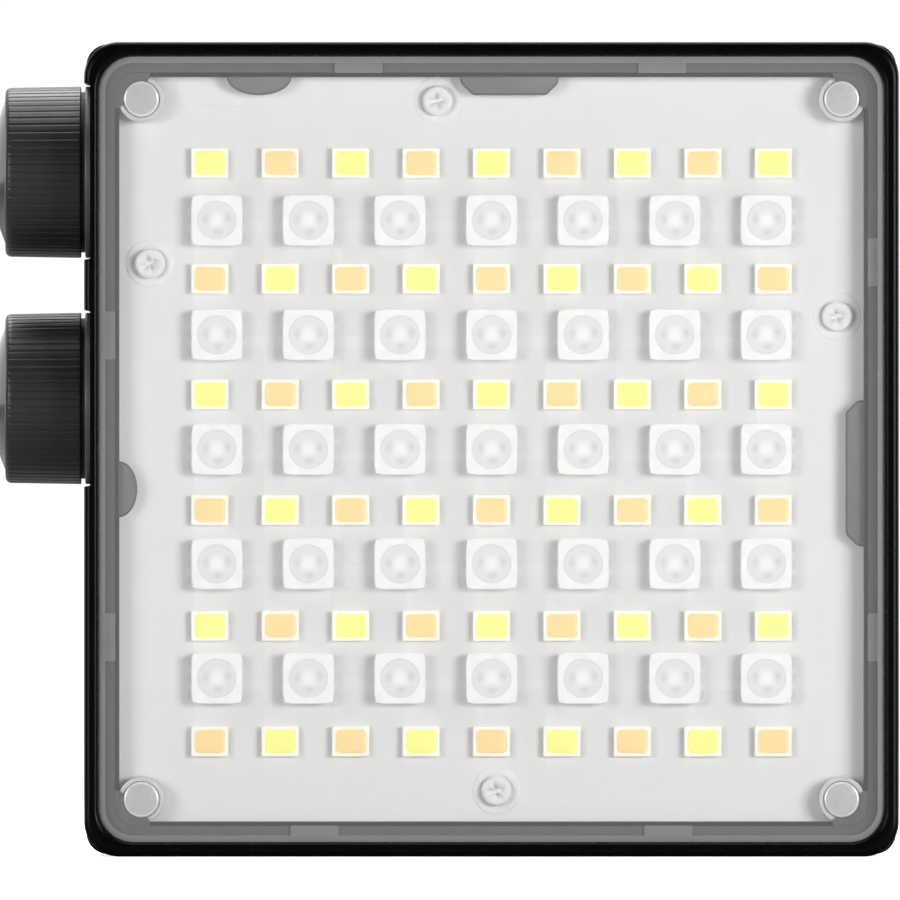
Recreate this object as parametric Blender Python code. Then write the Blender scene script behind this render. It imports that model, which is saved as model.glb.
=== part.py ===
"""Pocket RGB LED light panel with two push-and-turn dials on its left side.

Metres, +Z up. The light shines towards -Y and stands on its flat bottom at z = 0.
Every piece is placed from the centre of the square body, an empty called body_centre.
"""

import math

import bmesh
import bpy
from mathutils import Vector

# Body
BODY_WIDTH = 0.0815
BODY_HEIGHT = 0.0815
BODY_DEPTH = 0.026
CORNER_RADIUS = 0.0035
EDGE_ROUND = 0.0006
SEAM_ROUND = 0.00025
RIM_ROUND = 0.00035
RIM_WALL = 0.00135
SEAT_LEDGE = 0.0009
REAR_COVER_THICKNESS = 0.002

# Clearances
FIT_GAP = 0.0003
CLOSE_GAP = 0.0002
RUN_GAP = 0.0001

# Front cover
COVER_RECESS = 0.0003
COVER_THICKNESS = 0.0012
COVER_CORNER = 0.0036
COVER_BEVEL_WIDTH = 0.00065
COVER_BEVEL_DEPTH = 0.0005
TAB_WIDTH = 0.0048
TAB_THICKNESS = 0.00095
TAB_LENGTH = 0.0035
TAB_INSET = 0.0004
TAB_OFFSETS = {
    "top": (-0.0133, 0.0171),
    "bottom": (-0.0177, 0.0177),
    "left": (0.0114, -0.0188),
    "right": (0.0187, -0.0188),
}

# Chassis
CHASSIS_SLOT_WALL = 0.00025
CHASSIS_CORNER = 0.0015
POST_INSET = 0.0057
POST_WALL = 0.0004
LUG_DROP = 0.0009
LUG_REACH = 0.00185
ROUND_LUGS = (("top", -0.02325, 0.0065), ("left", -0.004, 0.0056))
WIDE_LUGS = (("top", 0.0018, 0.0098), ("right", -0.0024, 0.0146))
LUG_CHAMFER = 0.0012

# Magnets
MAGNET_RADIUS = 0.0018
MAGNET_THICKNESS = 0.002

# LED board, thermal pad and heat plate
BOARD_DROP = 0.0026
BOARD_THICKNESS = 0.0016
PAD_THICKNESS = 0.0005
PLATE_THICKNESS = 0.002
WHITE_LED_SIZE = (0.0037, 0.003)
WHITE_LED_HEIGHT = 0.0008
WHITE_LED_GRID = (9, 6)
WHITE_LED_MARGIN = (0.0091, 0.00835)
WHITE_LED_LOWERED = 0.0003
RGB_LED_SIZE = (0.0051, 0.0051)
RGB_LED_HEIGHT = 0.0016
RGB_LED_GRID = (7, 5)
RGB_LED_MARGIN = (0.0098, 0.01438)
LED_SINK = 0.0003
BOARD_SCREWS = (
    ("top", -0.0054, 0.0024),
    ("left", 0.0186, 0.0031),
    ("right", 0.0133, 0.0027),
    ("bottom", 0.0005, 0.0031),
)

# Screws
SCREW_RADIUS = 0.001
SCREW_HEAD_RADIUS = 0.0019
SCREW_HEAD_HEIGHT = 0.0011
BOARD_SCREW_HEAD_RADIUS = 0.0016
BOARD_SCREW_HEAD_HEIGHT = 0.0007
SCREW_DRIVE_RADIUS = 0.0006
SCREW_DRIVE_DEPTH = 0.0004
SCREW_HEAD_EDGE = 0.00025
REAR_SCREW_LENGTH = 0.007

# Control board
CONTROL_BOARD_ROOM = 0.0038
CONTROL_BOARD_THICKNESS = 0.001
CONTROL_BOARD_LEFT_MARGIN = 0.011
CONTROL_BOARD_SIDE_GAP = 0.00035
CONTROL_BOARD_END_MARGIN = 0.0095
COMPONENT_HEIGHT = 0.0012
COMPONENTS = (
    (-0.012, 0.01625, 0.007, 0.007),
    (0.002, 0.01525, 0.0052, 0.0052),
    (-0.022, 0.01425, 0.004, 0.003),
    (0.0245, 0.01425, 0.006, 0.0045),
    (0.031, 0.04475, 0.005, 0.008),
)

# Battery pack
BATTERY_SIDE_GAP = 0.0018
BATTERY_PORT_GAP = 0.0033
BATTERY_INSERT_GAP = 0.0019
BATTERY_TOP_MARGIN = 0.018
BATTERY_EDGE_ROUND = 0.0025
LEAD_RADIUS = 0.0006
LEAD_PITCH = 0.002
LEAD_START = -0.007
LEAD_BEND = 0.8
LEAD_STEPS = 14
CONNECTOR_OFFSET = 0.0125
CONNECTOR_DROP = 0.01425
CONNECTOR_SIZE = (0.0055, 0.0042, 0.0062)

# LED ribbon
RIBBON_OFFSET = -0.02
RIBBON_WIDTH = 0.01
RIBBON_THICKNESS = 0.0003
RIBBON_RISE = 0.0062
RIBBON_BEND = 0.0025
RIBBON_LENGTH_UP = 0.009
RIBBON_NOTCH_MARGIN = 0.001

# Charging port
PORT_OFFSET = -0.0175
PORT_WIDTH = 0.00894
PORT_HEIGHT = 0.00316
PORT_WALL = 0.0003
PORT_DEPTH = 0.0073
PORT_RECESS = 0.0004
TONGUE_WIDTH = 0.0067
TONGUE_THICKNESS = 0.0007
TONGUE_RECESS = 0.0008

# Rear display
DISPLAY_OFFSET = 0.013
DISPLAY_WIDTH = 0.028
DISPLAY_HEIGHT = 0.015
DISPLAY_THICKNESS = 0.0015
WINDOW_LIP = 0.002
WINDOW_THICKNESS = 0.001
WINDOW_CORNER = 0.0012
HOLDER_WALL = 0.001

# Rear buttons and their switches
BUTTON_RADIUS = 0.0038
BUTTON_EDGE = 0.0003
BUTTON_FLANGE = 0.0008
BUTTON_FLANGE_THICKNESS = 0.0006
BUTTON_STEM_RADIUS = 0.0015
BUTTON_TRAVEL = 0.00025
BUTTON_PLACES = {"power": (-0.0115, -0.0085), "mode": (0.0115, -0.0085)}
SWITCH_SIDE = 0.0052
SWITCH_BASE = 0.0015
SWITCH_ACTUATOR = 0.0004
SWITCH_ACTUATOR_RADIUS = 0.0012

# Tripod insert
TRIPOD_THREAD_RADIUS = 0.003175
TRIPOD_INSERT_WALL = 0.0016
TRIPOD_FLANGE_WIDTH = 0.0007
TRIPOD_FLANGE = 0.001
TRIPOD_LENGTH = 0.0078
TRIPOD_BOSS_WALL = 0.0009
TRIPOD_RECESS = 0.0001

# Dials
DIAL_COUNT = 2
DIAL_DROP = 0.01295
DIAL_PITCH = 0.0227
DIAL_TRAVEL = 0.0003
POCKET_DEPTH = 0.0006
POCKET_MARGIN = 0.0001
SEAT_THICKNESS = 0.0005
SEAT_CLEARANCE = 0.001
KNOB_RADIUS = 0.0086
KNOB_TAPER = 0.00015
KNOB_LENGTH = 0.0076
KNOB_STANDOFF = 0.0004
KNOB_EDGE = 0.0005
KNOB_LIP = 0.00075
KNOB_CAVITY_CLEARANCE = 0.0014
KNOB_CAVITY_DEPTH = 0.0029
CAP_RISE = 0.0015
CAP_SINK = 0.0008
SHAFT_RADIUS = 0.0025
BUSH_WALL = 0.0009
BUSH_STANDOUT = 0.0022
BUSH_SINK = 0.0007
NUT_WALL = 0.0009
NUT_THICKNESS = 0.0016
ENCODER_SIDE = 0.009
ENCODER_DEPTH = 0.0065
ENCODER_GAP = 0.00055
SHAFT_INSIDE = 0.0042
PLUNGER_RADIUS = 0.0015
PLUNGER_LENGTH = 0.001
ENCODER_BOARD_THICKNESS = 0.001
ENCODER_BOARD_OVERHANG = 0.0068

# Faces round a turned piece, and points round a quarter corner
ROUND_STEPS = 32
SMALL_STEPS = 12
CORNER_STEPS = 4
EDGE_STEPS = 3

# Corner radius of an almost half-round end, as a share of its width
ROUND_END = 0.497

# Places across the body
CHASSIS_WALL = TAB_INSET + TAB_THICKNESS + CLOSE_GAP + CHASSIS_SLOT_WALL
LEFT = -BODY_WIDTH / 2
RIGHT = BODY_WIDTH / 2
BOTTOM = -BODY_HEIGHT / 2
TOP = BODY_HEIGHT / 2
SEAT_WALL = RIM_WALL + SEAT_LEDGE
KNOB_OUTSIDE = KNOB_STANDOFF + KNOB_LENGTH + CAP_RISE
OPENING_WIDTH = BODY_WIDTH - 2 * RIM_WALL
OPENING_HEIGHT = BODY_HEIGHT - 2 * RIM_WALL
FRAME_WIDTH = OPENING_WIDTH - 2 * FIT_GAP
FRAME_HEIGHT = OPENING_HEIGHT - 2 * FIT_GAP
INNER_WIDTH = FRAME_WIDTH - 2 * CHASSIS_WALL
INNER_HEIGHT = FRAME_HEIGHT - 2 * CHASSIS_WALL
POST_RADIUS = MAGNET_RADIUS + RUN_GAP + POST_WALL

# Places through the depth, front to back
FRONT = -BODY_DEPTH / 2
BACK = BODY_DEPTH / 2
COVER_FRONT = FRONT + COVER_RECESS
COVER_BACK = COVER_FRONT + COVER_THICKNESS
CHASSIS_FRONT = COVER_BACK + FIT_GAP
BOARD_FRONT = CHASSIS_FRONT + BOARD_DROP
BOARD_BACK = BOARD_FRONT + BOARD_THICKNESS
PAD_FRONT = BOARD_BACK + FIT_GAP
PAD_BACK = PAD_FRONT + PAD_THICKNESS
PLATE_FRONT = PAD_BACK + FIT_GAP
PLATE_BACK = PLATE_FRONT + PLATE_THICKNESS
SEAT_STEP = PLATE_BACK + FIT_GAP
REAR_COVER_FRONT = BACK - REAR_COVER_THICKNESS
HOUSING_BACK = REAR_COVER_FRONT - FIT_GAP
CONTROL_BACK = REAR_COVER_FRONT - CONTROL_BOARD_ROOM
CONTROL_FRONT = CONTROL_BACK - CONTROL_BOARD_THICKNESS
DIAL_Y = PLATE_BACK + ENCODER_GAP + ENCODER_SIDE / 2
TRIPOD_INSERT_RADIUS = TRIPOD_THREAD_RADIUS + TRIPOD_INSERT_WALL
TRIPOD_FLANGE_RADIUS = TRIPOD_INSERT_RADIUS + TRIPOD_FLANGE_WIDTH
TRIPOD_BOSS_RADIUS = TRIPOD_FLANGE_RADIUS + TRIPOD_BOSS_WALL
TRIPOD_Y = SEAT_STEP + TRIPOD_BOSS_RADIUS

# Places along a dial, measured outwards from its pocket floor
POCKET_FLOOR = LEFT + POCKET_DEPTH
WALL_INSIDE = POCKET_DEPTH - SEAT_WALL
KNOB_INNER = POCKET_DEPTH + KNOB_STANDOFF
KNOB_OUTER = KNOB_INNER + KNOB_LENGTH
ENCODER_FACE = WALL_INSIDE - FIT_GAP
ENCODER_BACK = ENCODER_FACE - ENCODER_DEPTH
SHAFT_INNER = ENCODER_FACE - SHAFT_INSIDE
ENCODER_BOARD_FACE = FIT_GAP - ENCODER_BACK

# Radii that fit round a dial's shaft
BUSH_BORE = SHAFT_RADIUS + RUN_GAP
BUSH_RADIUS = BUSH_BORE + BUSH_WALL
NUT_BORE = BUSH_RADIUS + RUN_GAP
NUT_CORNER = (NUT_BORE + NUT_WALL) * 2 / math.sqrt(3)
SEAT_BORE = NUT_CORNER + SEAT_CLEARANCE
KNOB_CAVITY_RADIUS = NUT_CORNER + KNOB_CAVITY_CLEARANCE
CAP_RADIUS = KNOB_RADIUS - KNOB_TAPER - KNOB_EDGE - KNOB_LIP


def finish(name, colour, roughness, metallic=0.0, alpha=1.0):
    """The named Principled BSDF material, made once."""
    if name in bpy.data.materials:
        return bpy.data.materials[name]
    made = bpy.data.materials.new(name)
    made.use_nodes = True
    shader = made.node_tree.nodes["Principled BSDF"]
    shader.inputs["Base Color"].default_value = (*colour, 1.0)
    shader.inputs["Roughness"].default_value = roughness
    shader.inputs["Metallic"].default_value = metallic
    shader.inputs["Alpha"].default_value = alpha
    return made


def black_shell():
    return finish("black_shell", (0.012, 0.012, 0.013), 0.45)


def dark_frame():
    return finish("dark_frame", (0.06, 0.06, 0.062), 0.55)


def clear_plastic():
    return finish("clear_plastic", (0.9, 0.9, 0.9), 0.08, alpha=0.3)


def white_board():
    return finish("white_board", (0.82, 0.82, 0.82), 0.5)


def bright_steel():
    return finish("bright_steel", (0.6, 0.6, 0.6), 0.3, 1.0)


def black_screw():
    return finish("black_screw", (0.03, 0.03, 0.03), 0.35, 1.0)


def nickel():
    return finish("nickel", (0.55, 0.55, 0.54), 0.25, 1.0)


def grey_pad():
    return finish("grey_pad", (0.35, 0.36, 0.38), 0.8)


def plate_aluminium():
    return finish("plate_aluminium", (0.62, 0.63, 0.64), 0.4, 1.0)


def battery_wrap():
    return finish("battery_wrap", (0.03, 0.09, 0.25), 0.4)


def red_lead():
    return finish("red_lead", (0.5, 0.02, 0.02), 0.45)


def black_lead():
    return finish("black_lead", (0.02, 0.02, 0.02), 0.45)


def cream_plastic():
    return finish("cream_plastic", (0.72, 0.68, 0.58), 0.5)


def green_board():
    return finish("green_board", (0.02, 0.12, 0.05), 0.4)


def amber_film():
    return finish("amber_film", (0.45, 0.2, 0.03), 0.35)


def black_moulding():
    return finish("black_moulding", (0.02, 0.02, 0.02), 0.6)


def display_glass():
    return finish("display_glass", (0.015, 0.016, 0.02), 0.1)


def knob_plastic():
    return finish("knob_plastic", (0.025, 0.025, 0.026), 0.35)


def cap_gloss():
    return finish("cap_gloss", (0.06, 0.06, 0.062), 0.15)


def seat_grey():
    return finish("seat_grey", (0.14, 0.14, 0.145), 0.35, 0.5)


def insert_brass():
    return finish("insert_brass", (0.62, 0.45, 0.2), 0.3, 1.0)


def empty(name, location, parent=None):
    """A plain axes empty that holds a group of pieces."""
    made = bpy.data.objects.new(name, None)
    made.empty_display_size = 0.005
    made.location = location
    made.parent = parent
    bpy.context.collection.objects.link(made)
    return made


def piece(name, mesh_maker, material, parent, location=(0.0, 0.0, 0.0)):
    """An object from a finished bmesh, its normals out and its round faces smooth."""
    bmesh.ops.remove_doubles(mesh_maker, verts=mesh_maker.verts, dist=1e-7)
    bmesh.ops.recalc_face_normals(mesh_maker, faces=mesh_maker.faces)
    mesh = bpy.data.meshes.new(name)
    mesh_maker.to_mesh(mesh)
    mesh_maker.free()
    mesh.shade_smooth()
    mesh.set_sharp_from_angle(angle=math.radians(35))
    mesh.materials.append(material)
    made = bpy.data.objects.new(name, mesh)
    made.location = location
    made.parent = parent
    bpy.context.collection.objects.link(made)
    return made


def arc(centre, radius, start, end, steps):
    """Points on a circle from one angle to another, in degrees."""
    points = []
    for i in range(steps + 1):
        angle = math.radians(start + (end - start) * i / steps)
        points.append((centre[0] + radius * math.cos(angle), centre[1] + radius * math.sin(angle)))
    return points


def circle(centre, radius, steps=ROUND_STEPS):
    return arc(centre, radius, 0, 360 * (steps - 1) / steps, steps - 1)


def rectangle(centre, width, height):
    x, z = centre
    half_width = width / 2
    half_height = height / 2
    return [
        (x - half_width, z - half_height),
        (x + half_width, z - half_height),
        (x + half_width, z + half_height),
        (x - half_width, z + half_height),
    ]


def rounded_rectangle(centre, width, height, radius):
    points = []
    for i, (side_x, side_z) in enumerate(((1, 1), (-1, 1), (-1, -1), (1, -1))):
        corner = (
            centre[0] + side_x * (width / 2 - radius),
            centre[1] + side_z * (height / 2 - radius),
        )
        points += arc(corner, radius, 90 * i, 90 * (i + 1), CORNER_STEPS)
    return points


def add_prism(mesh_maker, outline, start, end, along="Y"):
    """Adds an outline drawn across an axis, extruded along it from start to end."""

    def point(across, up, depth):
        if along == "X":
            return (depth, across, up)
        if along == "Y":
            return (across, depth, up)
        return (across, up, depth)

    verts = [mesh_maker.verts.new(point(u, v, start)) for u, v in outline]
    face = mesh_maker.faces.new(verts)
    grown = bmesh.ops.extrude_face_region(mesh_maker, geom=[face])
    moved = [item for item in grown["geom"] if isinstance(item, bmesh.types.BMVert)]
    offset = Vector(point(0, 0, end)) - Vector(point(0, 0, start))
    bmesh.ops.translate(mesh_maker, verts=moved, vec=offset)


def prism(outline, start, end, along="Y"):
    mesh_maker = bmesh.new()
    add_prism(mesh_maker, outline, start, end, along)
    return mesh_maker


def turned(profile, along, steps=ROUND_STEPS, ring=False):
    """A profile of (distance along the axis, radius) points, spun once about that axis.

    A ring's profile is a closed loop clear of the axis. Any other starts and ends on the axis.
    """
    mesh_maker = bmesh.new()
    places = {
        "X": lambda distance, radius: (distance, radius, 0.0),
        "Y": lambda distance, radius: (radius, distance, 0.0),
        "Z": lambda distance, radius: (radius, 0.0, distance),
    }
    verts = [mesh_maker.verts.new(places[along](*point)) for point in profile]
    edges = [mesh_maker.edges.new(pair) for pair in zip(verts, verts[1:])]
    if ring:
        edges.append(mesh_maker.edges.new((verts[-1], verts[0])))
    axis = {"X": (1, 0, 0), "Y": (0, 1, 0), "Z": (0, 0, 1)}[along]
    bmesh.ops.spin(
        mesh_maker,
        geom=verts + edges,
        cent=(0, 0, 0),
        axis=axis,
        angle=math.tau,
        steps=steps,
        use_merge=True,
    )
    return mesh_maker


def rounded_edge(face, inward, radius):
    """Levels of (depth, inset) round an outer edge, from its flat face inwards."""
    levels = []
    for i in range(EDGE_STEPS + 1):
        angle = math.pi / 2 * (1 - i / EDGE_STEPS)
        levels.append((face + inward * radius * (1 - math.sin(angle)), radius * (1 - math.cos(angle))))
    return levels


def stacked_slab(centre, width, height, corner, levels):
    """A rounded rectangle lofted through levels of (depth along Y, inset of its outline)."""
    mesh_maker = bmesh.new()
    rings = []
    for y, inset in levels:
        outline = rounded_rectangle(centre, width - 2 * inset, height - 2 * inset, corner - inset)
        rings.append([mesh_maker.verts.new((x, y, z)) for x, z in outline])
    for near, far in zip(rings, rings[1:]):
        for i in range(len(near)):
            j = (i + 1) % len(near)
            mesh_maker.faces.new((near[i], near[j], far[j], far[i]))
    mesh_maker.faces.new(rings[0])
    mesh_maker.faces.new(rings[-1])
    return mesh_maker


def tube_profile(start, end, outer, inner):
    return [(start, outer), (end, outer), (end, inner), (start, inner)]


def rod_profile(start, end, radius):
    return [(start, 0.0), (start, radius), (end, radius), (end, 0.0)]


def combine(target, other, operation):
    """A Boolean with an EXACT solver, its operand kept as a hidden helper."""
    other.hide_render = True
    other.display_type = "WIRE"
    modifier = target.modifiers.new(other.name, "BOOLEAN")
    modifier.operation = operation
    modifier.solver = "EXACT"
    modifier.object = other


def cut(target, mesh_maker, location=(0.0, 0.0, 0.0)):
    helper = piece(target.name + "_cut", mesh_maker, target.data.materials[0], target.parent, location)
    combine(target, helper, "DIFFERENCE")


def join(target, mesh_maker, location=(0.0, 0.0, 0.0)):
    helper = piece(target.name + "_join", mesh_maker, target.data.materials[0], target.parent, location)
    combine(target, helper, "UNION")


def corners(inset):
    """The four corner places at one distance from both sides of the body."""
    places = []
    for side_x in (-1, 1):
        for side_z in (-1, 1):
            places.append((side_x * (BODY_WIDTH / 2 - inset), side_z * (BODY_HEIGHT / 2 - inset)))
    return places


def from_side(side, width, height, along, inward):
    """A place at a distance along one side of a rectangle and inwards from it."""
    places = {
        "top": (along, height / 2 - inward),
        "bottom": (along, -height / 2 + inward),
        "left": (-width / 2 + inward, along),
        "right": (width / 2 - inward, along),
    }
    return places[side]


def round_lug_outline(side, offset, width, grow=0.0):
    """Half an ellipse that stands in from the chassis wall."""
    points = []
    for along, inward in arc((0.0, 0.0), 1.0, 0, 180, 2 * CORNER_STEPS):
        place = (offset + along * (width / 2 + grow), inward * (LUG_REACH + grow))
        points.append(from_side(side, INNER_WIDTH, INNER_HEIGHT, *place))
    points.append(from_side(side, INNER_WIDTH, INNER_HEIGHT, offset - width / 2 - grow, -CHASSIS_WALL / 2))
    points.append(from_side(side, INNER_WIDTH, INNER_HEIGHT, offset + width / 2 + grow, -CHASSIS_WALL / 2))
    return points


def wide_lug_outline(side, offset, width, grow=0.0):
    """A long lug with chamfered corners that stands in from the chassis wall."""
    half = width / 2 + grow
    places = (
        (-half, -CHASSIS_WALL / 2),
        (half, -CHASSIS_WALL / 2),
        (half, LUG_REACH + grow - LUG_CHAMFER),
        (half - LUG_CHAMFER, LUG_REACH + grow),
        (LUG_CHAMFER - half, LUG_REACH + grow),
        (-half, LUG_REACH + grow - LUG_CHAMFER),
    )
    return [from_side(side, INNER_WIDTH, INNER_HEIGHT, offset + along, inward) for along, inward in places]


def lug_outlines(grow=0.0):
    outlines = [round_lug_outline(*lug, grow) for lug in ROUND_LUGS]
    return outlines + [wide_lug_outline(*lug, grow) for lug in WIDE_LUGS]


def tab_places():
    for side, offsets in TAB_OFFSETS.items():
        for offset in offsets:
            yield side, offset


def tab_outline(side, offset, grow_along=0.0, outward=0.0, inward=0.0):
    """One snap tab's outline, inset from the front cover's edge."""
    half = TAB_WIDTH / 2 + grow_along
    near = TAB_INSET - outward
    far = TAB_INSET + TAB_THICKNESS + inward
    corners_of_tab = ((-half, near), (half, near), (half, far), (-half, far))
    return [
        from_side(side, FRAME_WIDTH, FRAME_HEIGHT, offset + along, depth)
        for along, depth in corners_of_tab
    ]


def dial_centres():
    """Each dial's (y, z), from the top down."""
    return [(DIAL_Y, TOP - DIAL_DROP - DIAL_PITCH * i) for i in range(DIAL_COUNT)]


def cut_dial_pockets(target):
    """Flat pockets across the whole left side, with sloped ends, where the dials sit."""
    half = KNOB_RADIUS + POCKET_MARGIN
    for _, z in dial_centres():
        slope = [
            (LEFT - POCKET_DEPTH, z - half - 2 * POCKET_DEPTH),
            (POCKET_FLOOR, z - half),
            (POCKET_FLOOR, z + half),
            (LEFT - POCKET_DEPTH, z + half + 2 * POCKET_DEPTH),
        ]
        cut(target, prism(slope, FRONT - RIM_WALL, BACK + RIM_WALL))


def cut_port_mouth(shell):
    """The slot that a charging plug goes through."""
    width = PORT_HEIGHT + 2 * CLOSE_GAP
    height = PORT_WIDTH + 2 * CLOSE_GAP
    mouth = rounded_rectangle((port_y(), PORT_OFFSET), width, height, width * ROUND_END)
    cut(shell, prism(mouth, RIGHT - 2 * SEAT_WALL, RIGHT + RIM_WALL, "X"))


def add_tripod_boss(shell):
    """The boss inside the bottom wall and the stepped hole for the brass insert."""
    place = (0.0, TRIPOD_Y, 0.0)
    boss_top = BOTTOM + TRIPOD_RECESS + TRIPOD_LENGTH
    boss = rod_profile(BOTTOM + SEAT_WALL / 2, boss_top, TRIPOD_BOSS_RADIUS)
    join(shell, turned(boss, "Z"), place)
    insert_hole = TRIPOD_INSERT_RADIUS + CLOSE_GAP
    flange_hole = TRIPOD_FLANGE_RADIUS + CLOSE_GAP
    flange_top = BOTTOM + TRIPOD_RECESS + TRIPOD_FLANGE + CLOSE_GAP
    stepped = [
        (BOTTOM - RIM_WALL, 0.0),
        (BOTTOM - RIM_WALL, flange_hole),
        (flange_top, flange_hole),
        (flange_top, insert_hole),
        (boss_top + RIM_WALL, insert_hole),
        (boss_top + RIM_WALL, 0.0),
    ]
    cut(shell, turned(stepped, "Z"), place)


def housing(body):
    """The moulded tube round everything, its wall thicker behind the chassis."""
    levels = rounded_edge(FRONT, 1, EDGE_ROUND) + rounded_edge(HOUSING_BACK, -1, SEAM_ROUND)[::-1]
    outside = stacked_slab((0, 0), BODY_WIDTH, BODY_HEIGHT, CORNER_RADIUS, levels)
    shell = piece("housing", outside, black_shell(), body)
    flare = [(y, -inset) for y, inset in rounded_edge(FRONT, 1, RIM_ROUND)]
    levels = [(FRONT - RIM_WALL, -RIM_ROUND)] + flare + [(SEAT_STEP, 0.0)]
    cut(shell, stacked_slab((0, 0), OPENING_WIDTH, OPENING_HEIGHT, COVER_CORNER, levels))
    rear_width = BODY_WIDTH - 2 * SEAT_WALL
    rear_height = BODY_HEIGHT - 2 * SEAT_WALL
    rear = rounded_rectangle((0, 0), rear_width, rear_height, CORNER_RADIUS - RIM_WALL)
    cut(shell, prism(rear, SEAT_STEP - RIM_WALL, BACK))
    add_tripod_boss(shell)
    cut_dial_pockets(shell)
    for y, z in dial_centres():
        hole = rod_profile(LEFT - RIM_WALL, LEFT + 2 * SEAT_WALL, BUSH_RADIUS + FIT_GAP)
        cut(shell, turned(hole, "X"), (0.0, y, z))
    cut_port_mouth(shell)
    return shell


def rear_cover(body):
    """The back plate, with a stepped window seat, two button holes and four screw holes."""
    levels = rounded_edge(REAR_COVER_FRONT, 1, SEAM_ROUND) + rounded_edge(BACK, -1, EDGE_ROUND)[::-1]
    outside = stacked_slab((0, 0), BODY_WIDTH, BODY_HEIGHT, CORNER_RADIUS, levels)
    plate = piece("rear_cover", outside, black_shell(), body)
    cut_dial_pockets(plate)
    centre = (0.0, DISPLAY_OFFSET)
    seat = rounded_rectangle(
        centre, DISPLAY_WIDTH + 2 * CLOSE_GAP, DISPLAY_HEIGHT + 2 * CLOSE_GAP, WINDOW_CORNER
    )
    cut(plate, prism(seat, BACK - WINDOW_THICKNESS - CLOSE_GAP, BACK + RIM_WALL))
    sight = rounded_rectangle(
        centre, DISPLAY_WIDTH - 2 * WINDOW_LIP, DISPLAY_HEIGHT - 2 * WINDOW_LIP, WINDOW_CORNER / 2
    )
    cut(plate, prism(sight, REAR_COVER_FRONT - RIM_WALL, BACK))
    for x, z in BUTTON_PLACES.values():
        hole = rod_profile(REAR_COVER_FRONT - RIM_WALL, BACK + RIM_WALL, BUTTON_RADIUS + CLOSE_GAP)
        cut(plate, turned(hole, "Y"), (x, 0.0, z))
    for x, z in corners(POST_INSET):
        head_floor = BACK - SCREW_HEAD_HEIGHT - CLOSE_GAP
        shank_hole = SCREW_RADIUS + CLOSE_GAP
        head_hole = SCREW_HEAD_RADIUS + CLOSE_GAP
        stepped = [
            (REAR_COVER_FRONT - RIM_WALL, 0.0),
            (REAR_COVER_FRONT - RIM_WALL, shank_hole),
            (head_floor, shank_hole),
            (head_floor, head_hole),
            (BACK + RIM_WALL, head_hole),
            (BACK + RIM_WALL, 0.0),
        ]
        cut(plate, turned(stepped, "Y", SMALL_STEPS), (x, 0.0, z))
    return plate


def front_cover(body):
    """The clear plate over the LEDs, with a bevelled edge and eight snap tabs behind it."""
    levels = (
        (COVER_BACK, 0.0),
        (COVER_FRONT + COVER_BEVEL_DEPTH, 0.0),
        (COVER_FRONT, COVER_BEVEL_WIDTH),
    )
    slab = stacked_slab((0, 0), FRAME_WIDTH, FRAME_HEIGHT, COVER_CORNER - FIT_GAP, levels)
    plate = piece("front_cover", slab, clear_plastic(), body)
    tabs = bmesh.new()
    for side, offset in tab_places():
        add_prism(tabs, tab_outline(side, offset), COVER_BACK - COVER_THICKNESS / 2, COVER_BACK + TAB_LENGTH)
    join(plate, tabs)
    return plate


def chassis(body):
    """The inner frame: a wall round the LED board, four lugs and four corner posts."""
    outline = rounded_rectangle((0, 0), FRAME_WIDTH, FRAME_HEIGHT, COVER_CORNER - FIT_GAP)
    frame = piece("chassis", prism(outline, CHASSIS_FRONT, PLATE_BACK), dark_frame(), body)
    inside = rounded_rectangle((0, 0), INNER_WIDTH, INNER_HEIGHT, CHASSIS_CORNER)
    cut(frame, prism(inside, CHASSIS_FRONT - RIM_WALL, PLATE_BACK + RIM_WALL))
    for outline in lug_outlines():
        join(frame, prism(outline, CHASSIS_FRONT + LUG_DROP, PLATE_BACK))
    socket_floor = CHASSIS_FRONT + RUN_GAP + MAGNET_THICKNESS + CLOSE_GAP
    screw_end = BACK - SCREW_HEAD_HEIGHT - REAR_SCREW_LENGTH - FIT_GAP
    for x, z in corners(POST_INSET):
        join(frame, turned(rod_profile(CHASSIS_FRONT, HOUSING_BACK, POST_RADIUS), "Y"), (x, 0.0, z))
        socket = rod_profile(CHASSIS_FRONT - RIM_WALL, socket_floor, MAGNET_RADIUS + RUN_GAP)
        cut(frame, turned(socket, "Y"), (x, 0.0, z))
        bore = rod_profile(screw_end, HOUSING_BACK + RIM_WALL, SCREW_RADIUS + CLOSE_GAP)
        cut(frame, turned(bore, "Y", SMALL_STEPS), (x, 0.0, z))
    slots = bmesh.new()
    for side, offset in tab_places():
        outline = tab_outline(side, offset, CLOSE_GAP, TAB_INSET + CLOSE_GAP, CLOSE_GAP)
        add_prism(slots, outline, CHASSIS_FRONT - RIM_WALL, COVER_BACK + TAB_LENGTH + FIT_GAP)
    cut(frame, slots)
    return frame


def cut_board_outline(sheet, start, end):
    """Cuts a sheet that lies in the chassis to clear its lugs and corner posts."""
    for outline in lug_outlines(CLOSE_GAP):
        cut(sheet, prism(outline, start, end))
    for x, z in corners(POST_INSET):
        relief = turned(rod_profile(start, end, POST_RADIUS + CLOSE_GAP), "Y")
        cut(sheet, relief, (x, 0.0, z))
        outer_x = math.copysign(BODY_WIDTH, x)
        outer_z = math.copysign(BODY_HEIGHT, z)
        centre = ((x + outer_x) / 2, (z + outer_z) / 2)
        cut(sheet, prism(rectangle(centre, abs(outer_x - x), abs(outer_z - z)), start, end))


def board_screw_places():
    return [from_side(side, INNER_WIDTH, INNER_HEIGHT, *place) for side, *place in BOARD_SCREWS]


def cut_screw_holes(sheet, start, end):
    for x, z in board_screw_places():
        hole = turned(rod_profile(start, end, SCREW_RADIUS + CLOSE_GAP), "Y", SMALL_STEPS)
        cut(sheet, hole, (x, 0.0, z))


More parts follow.
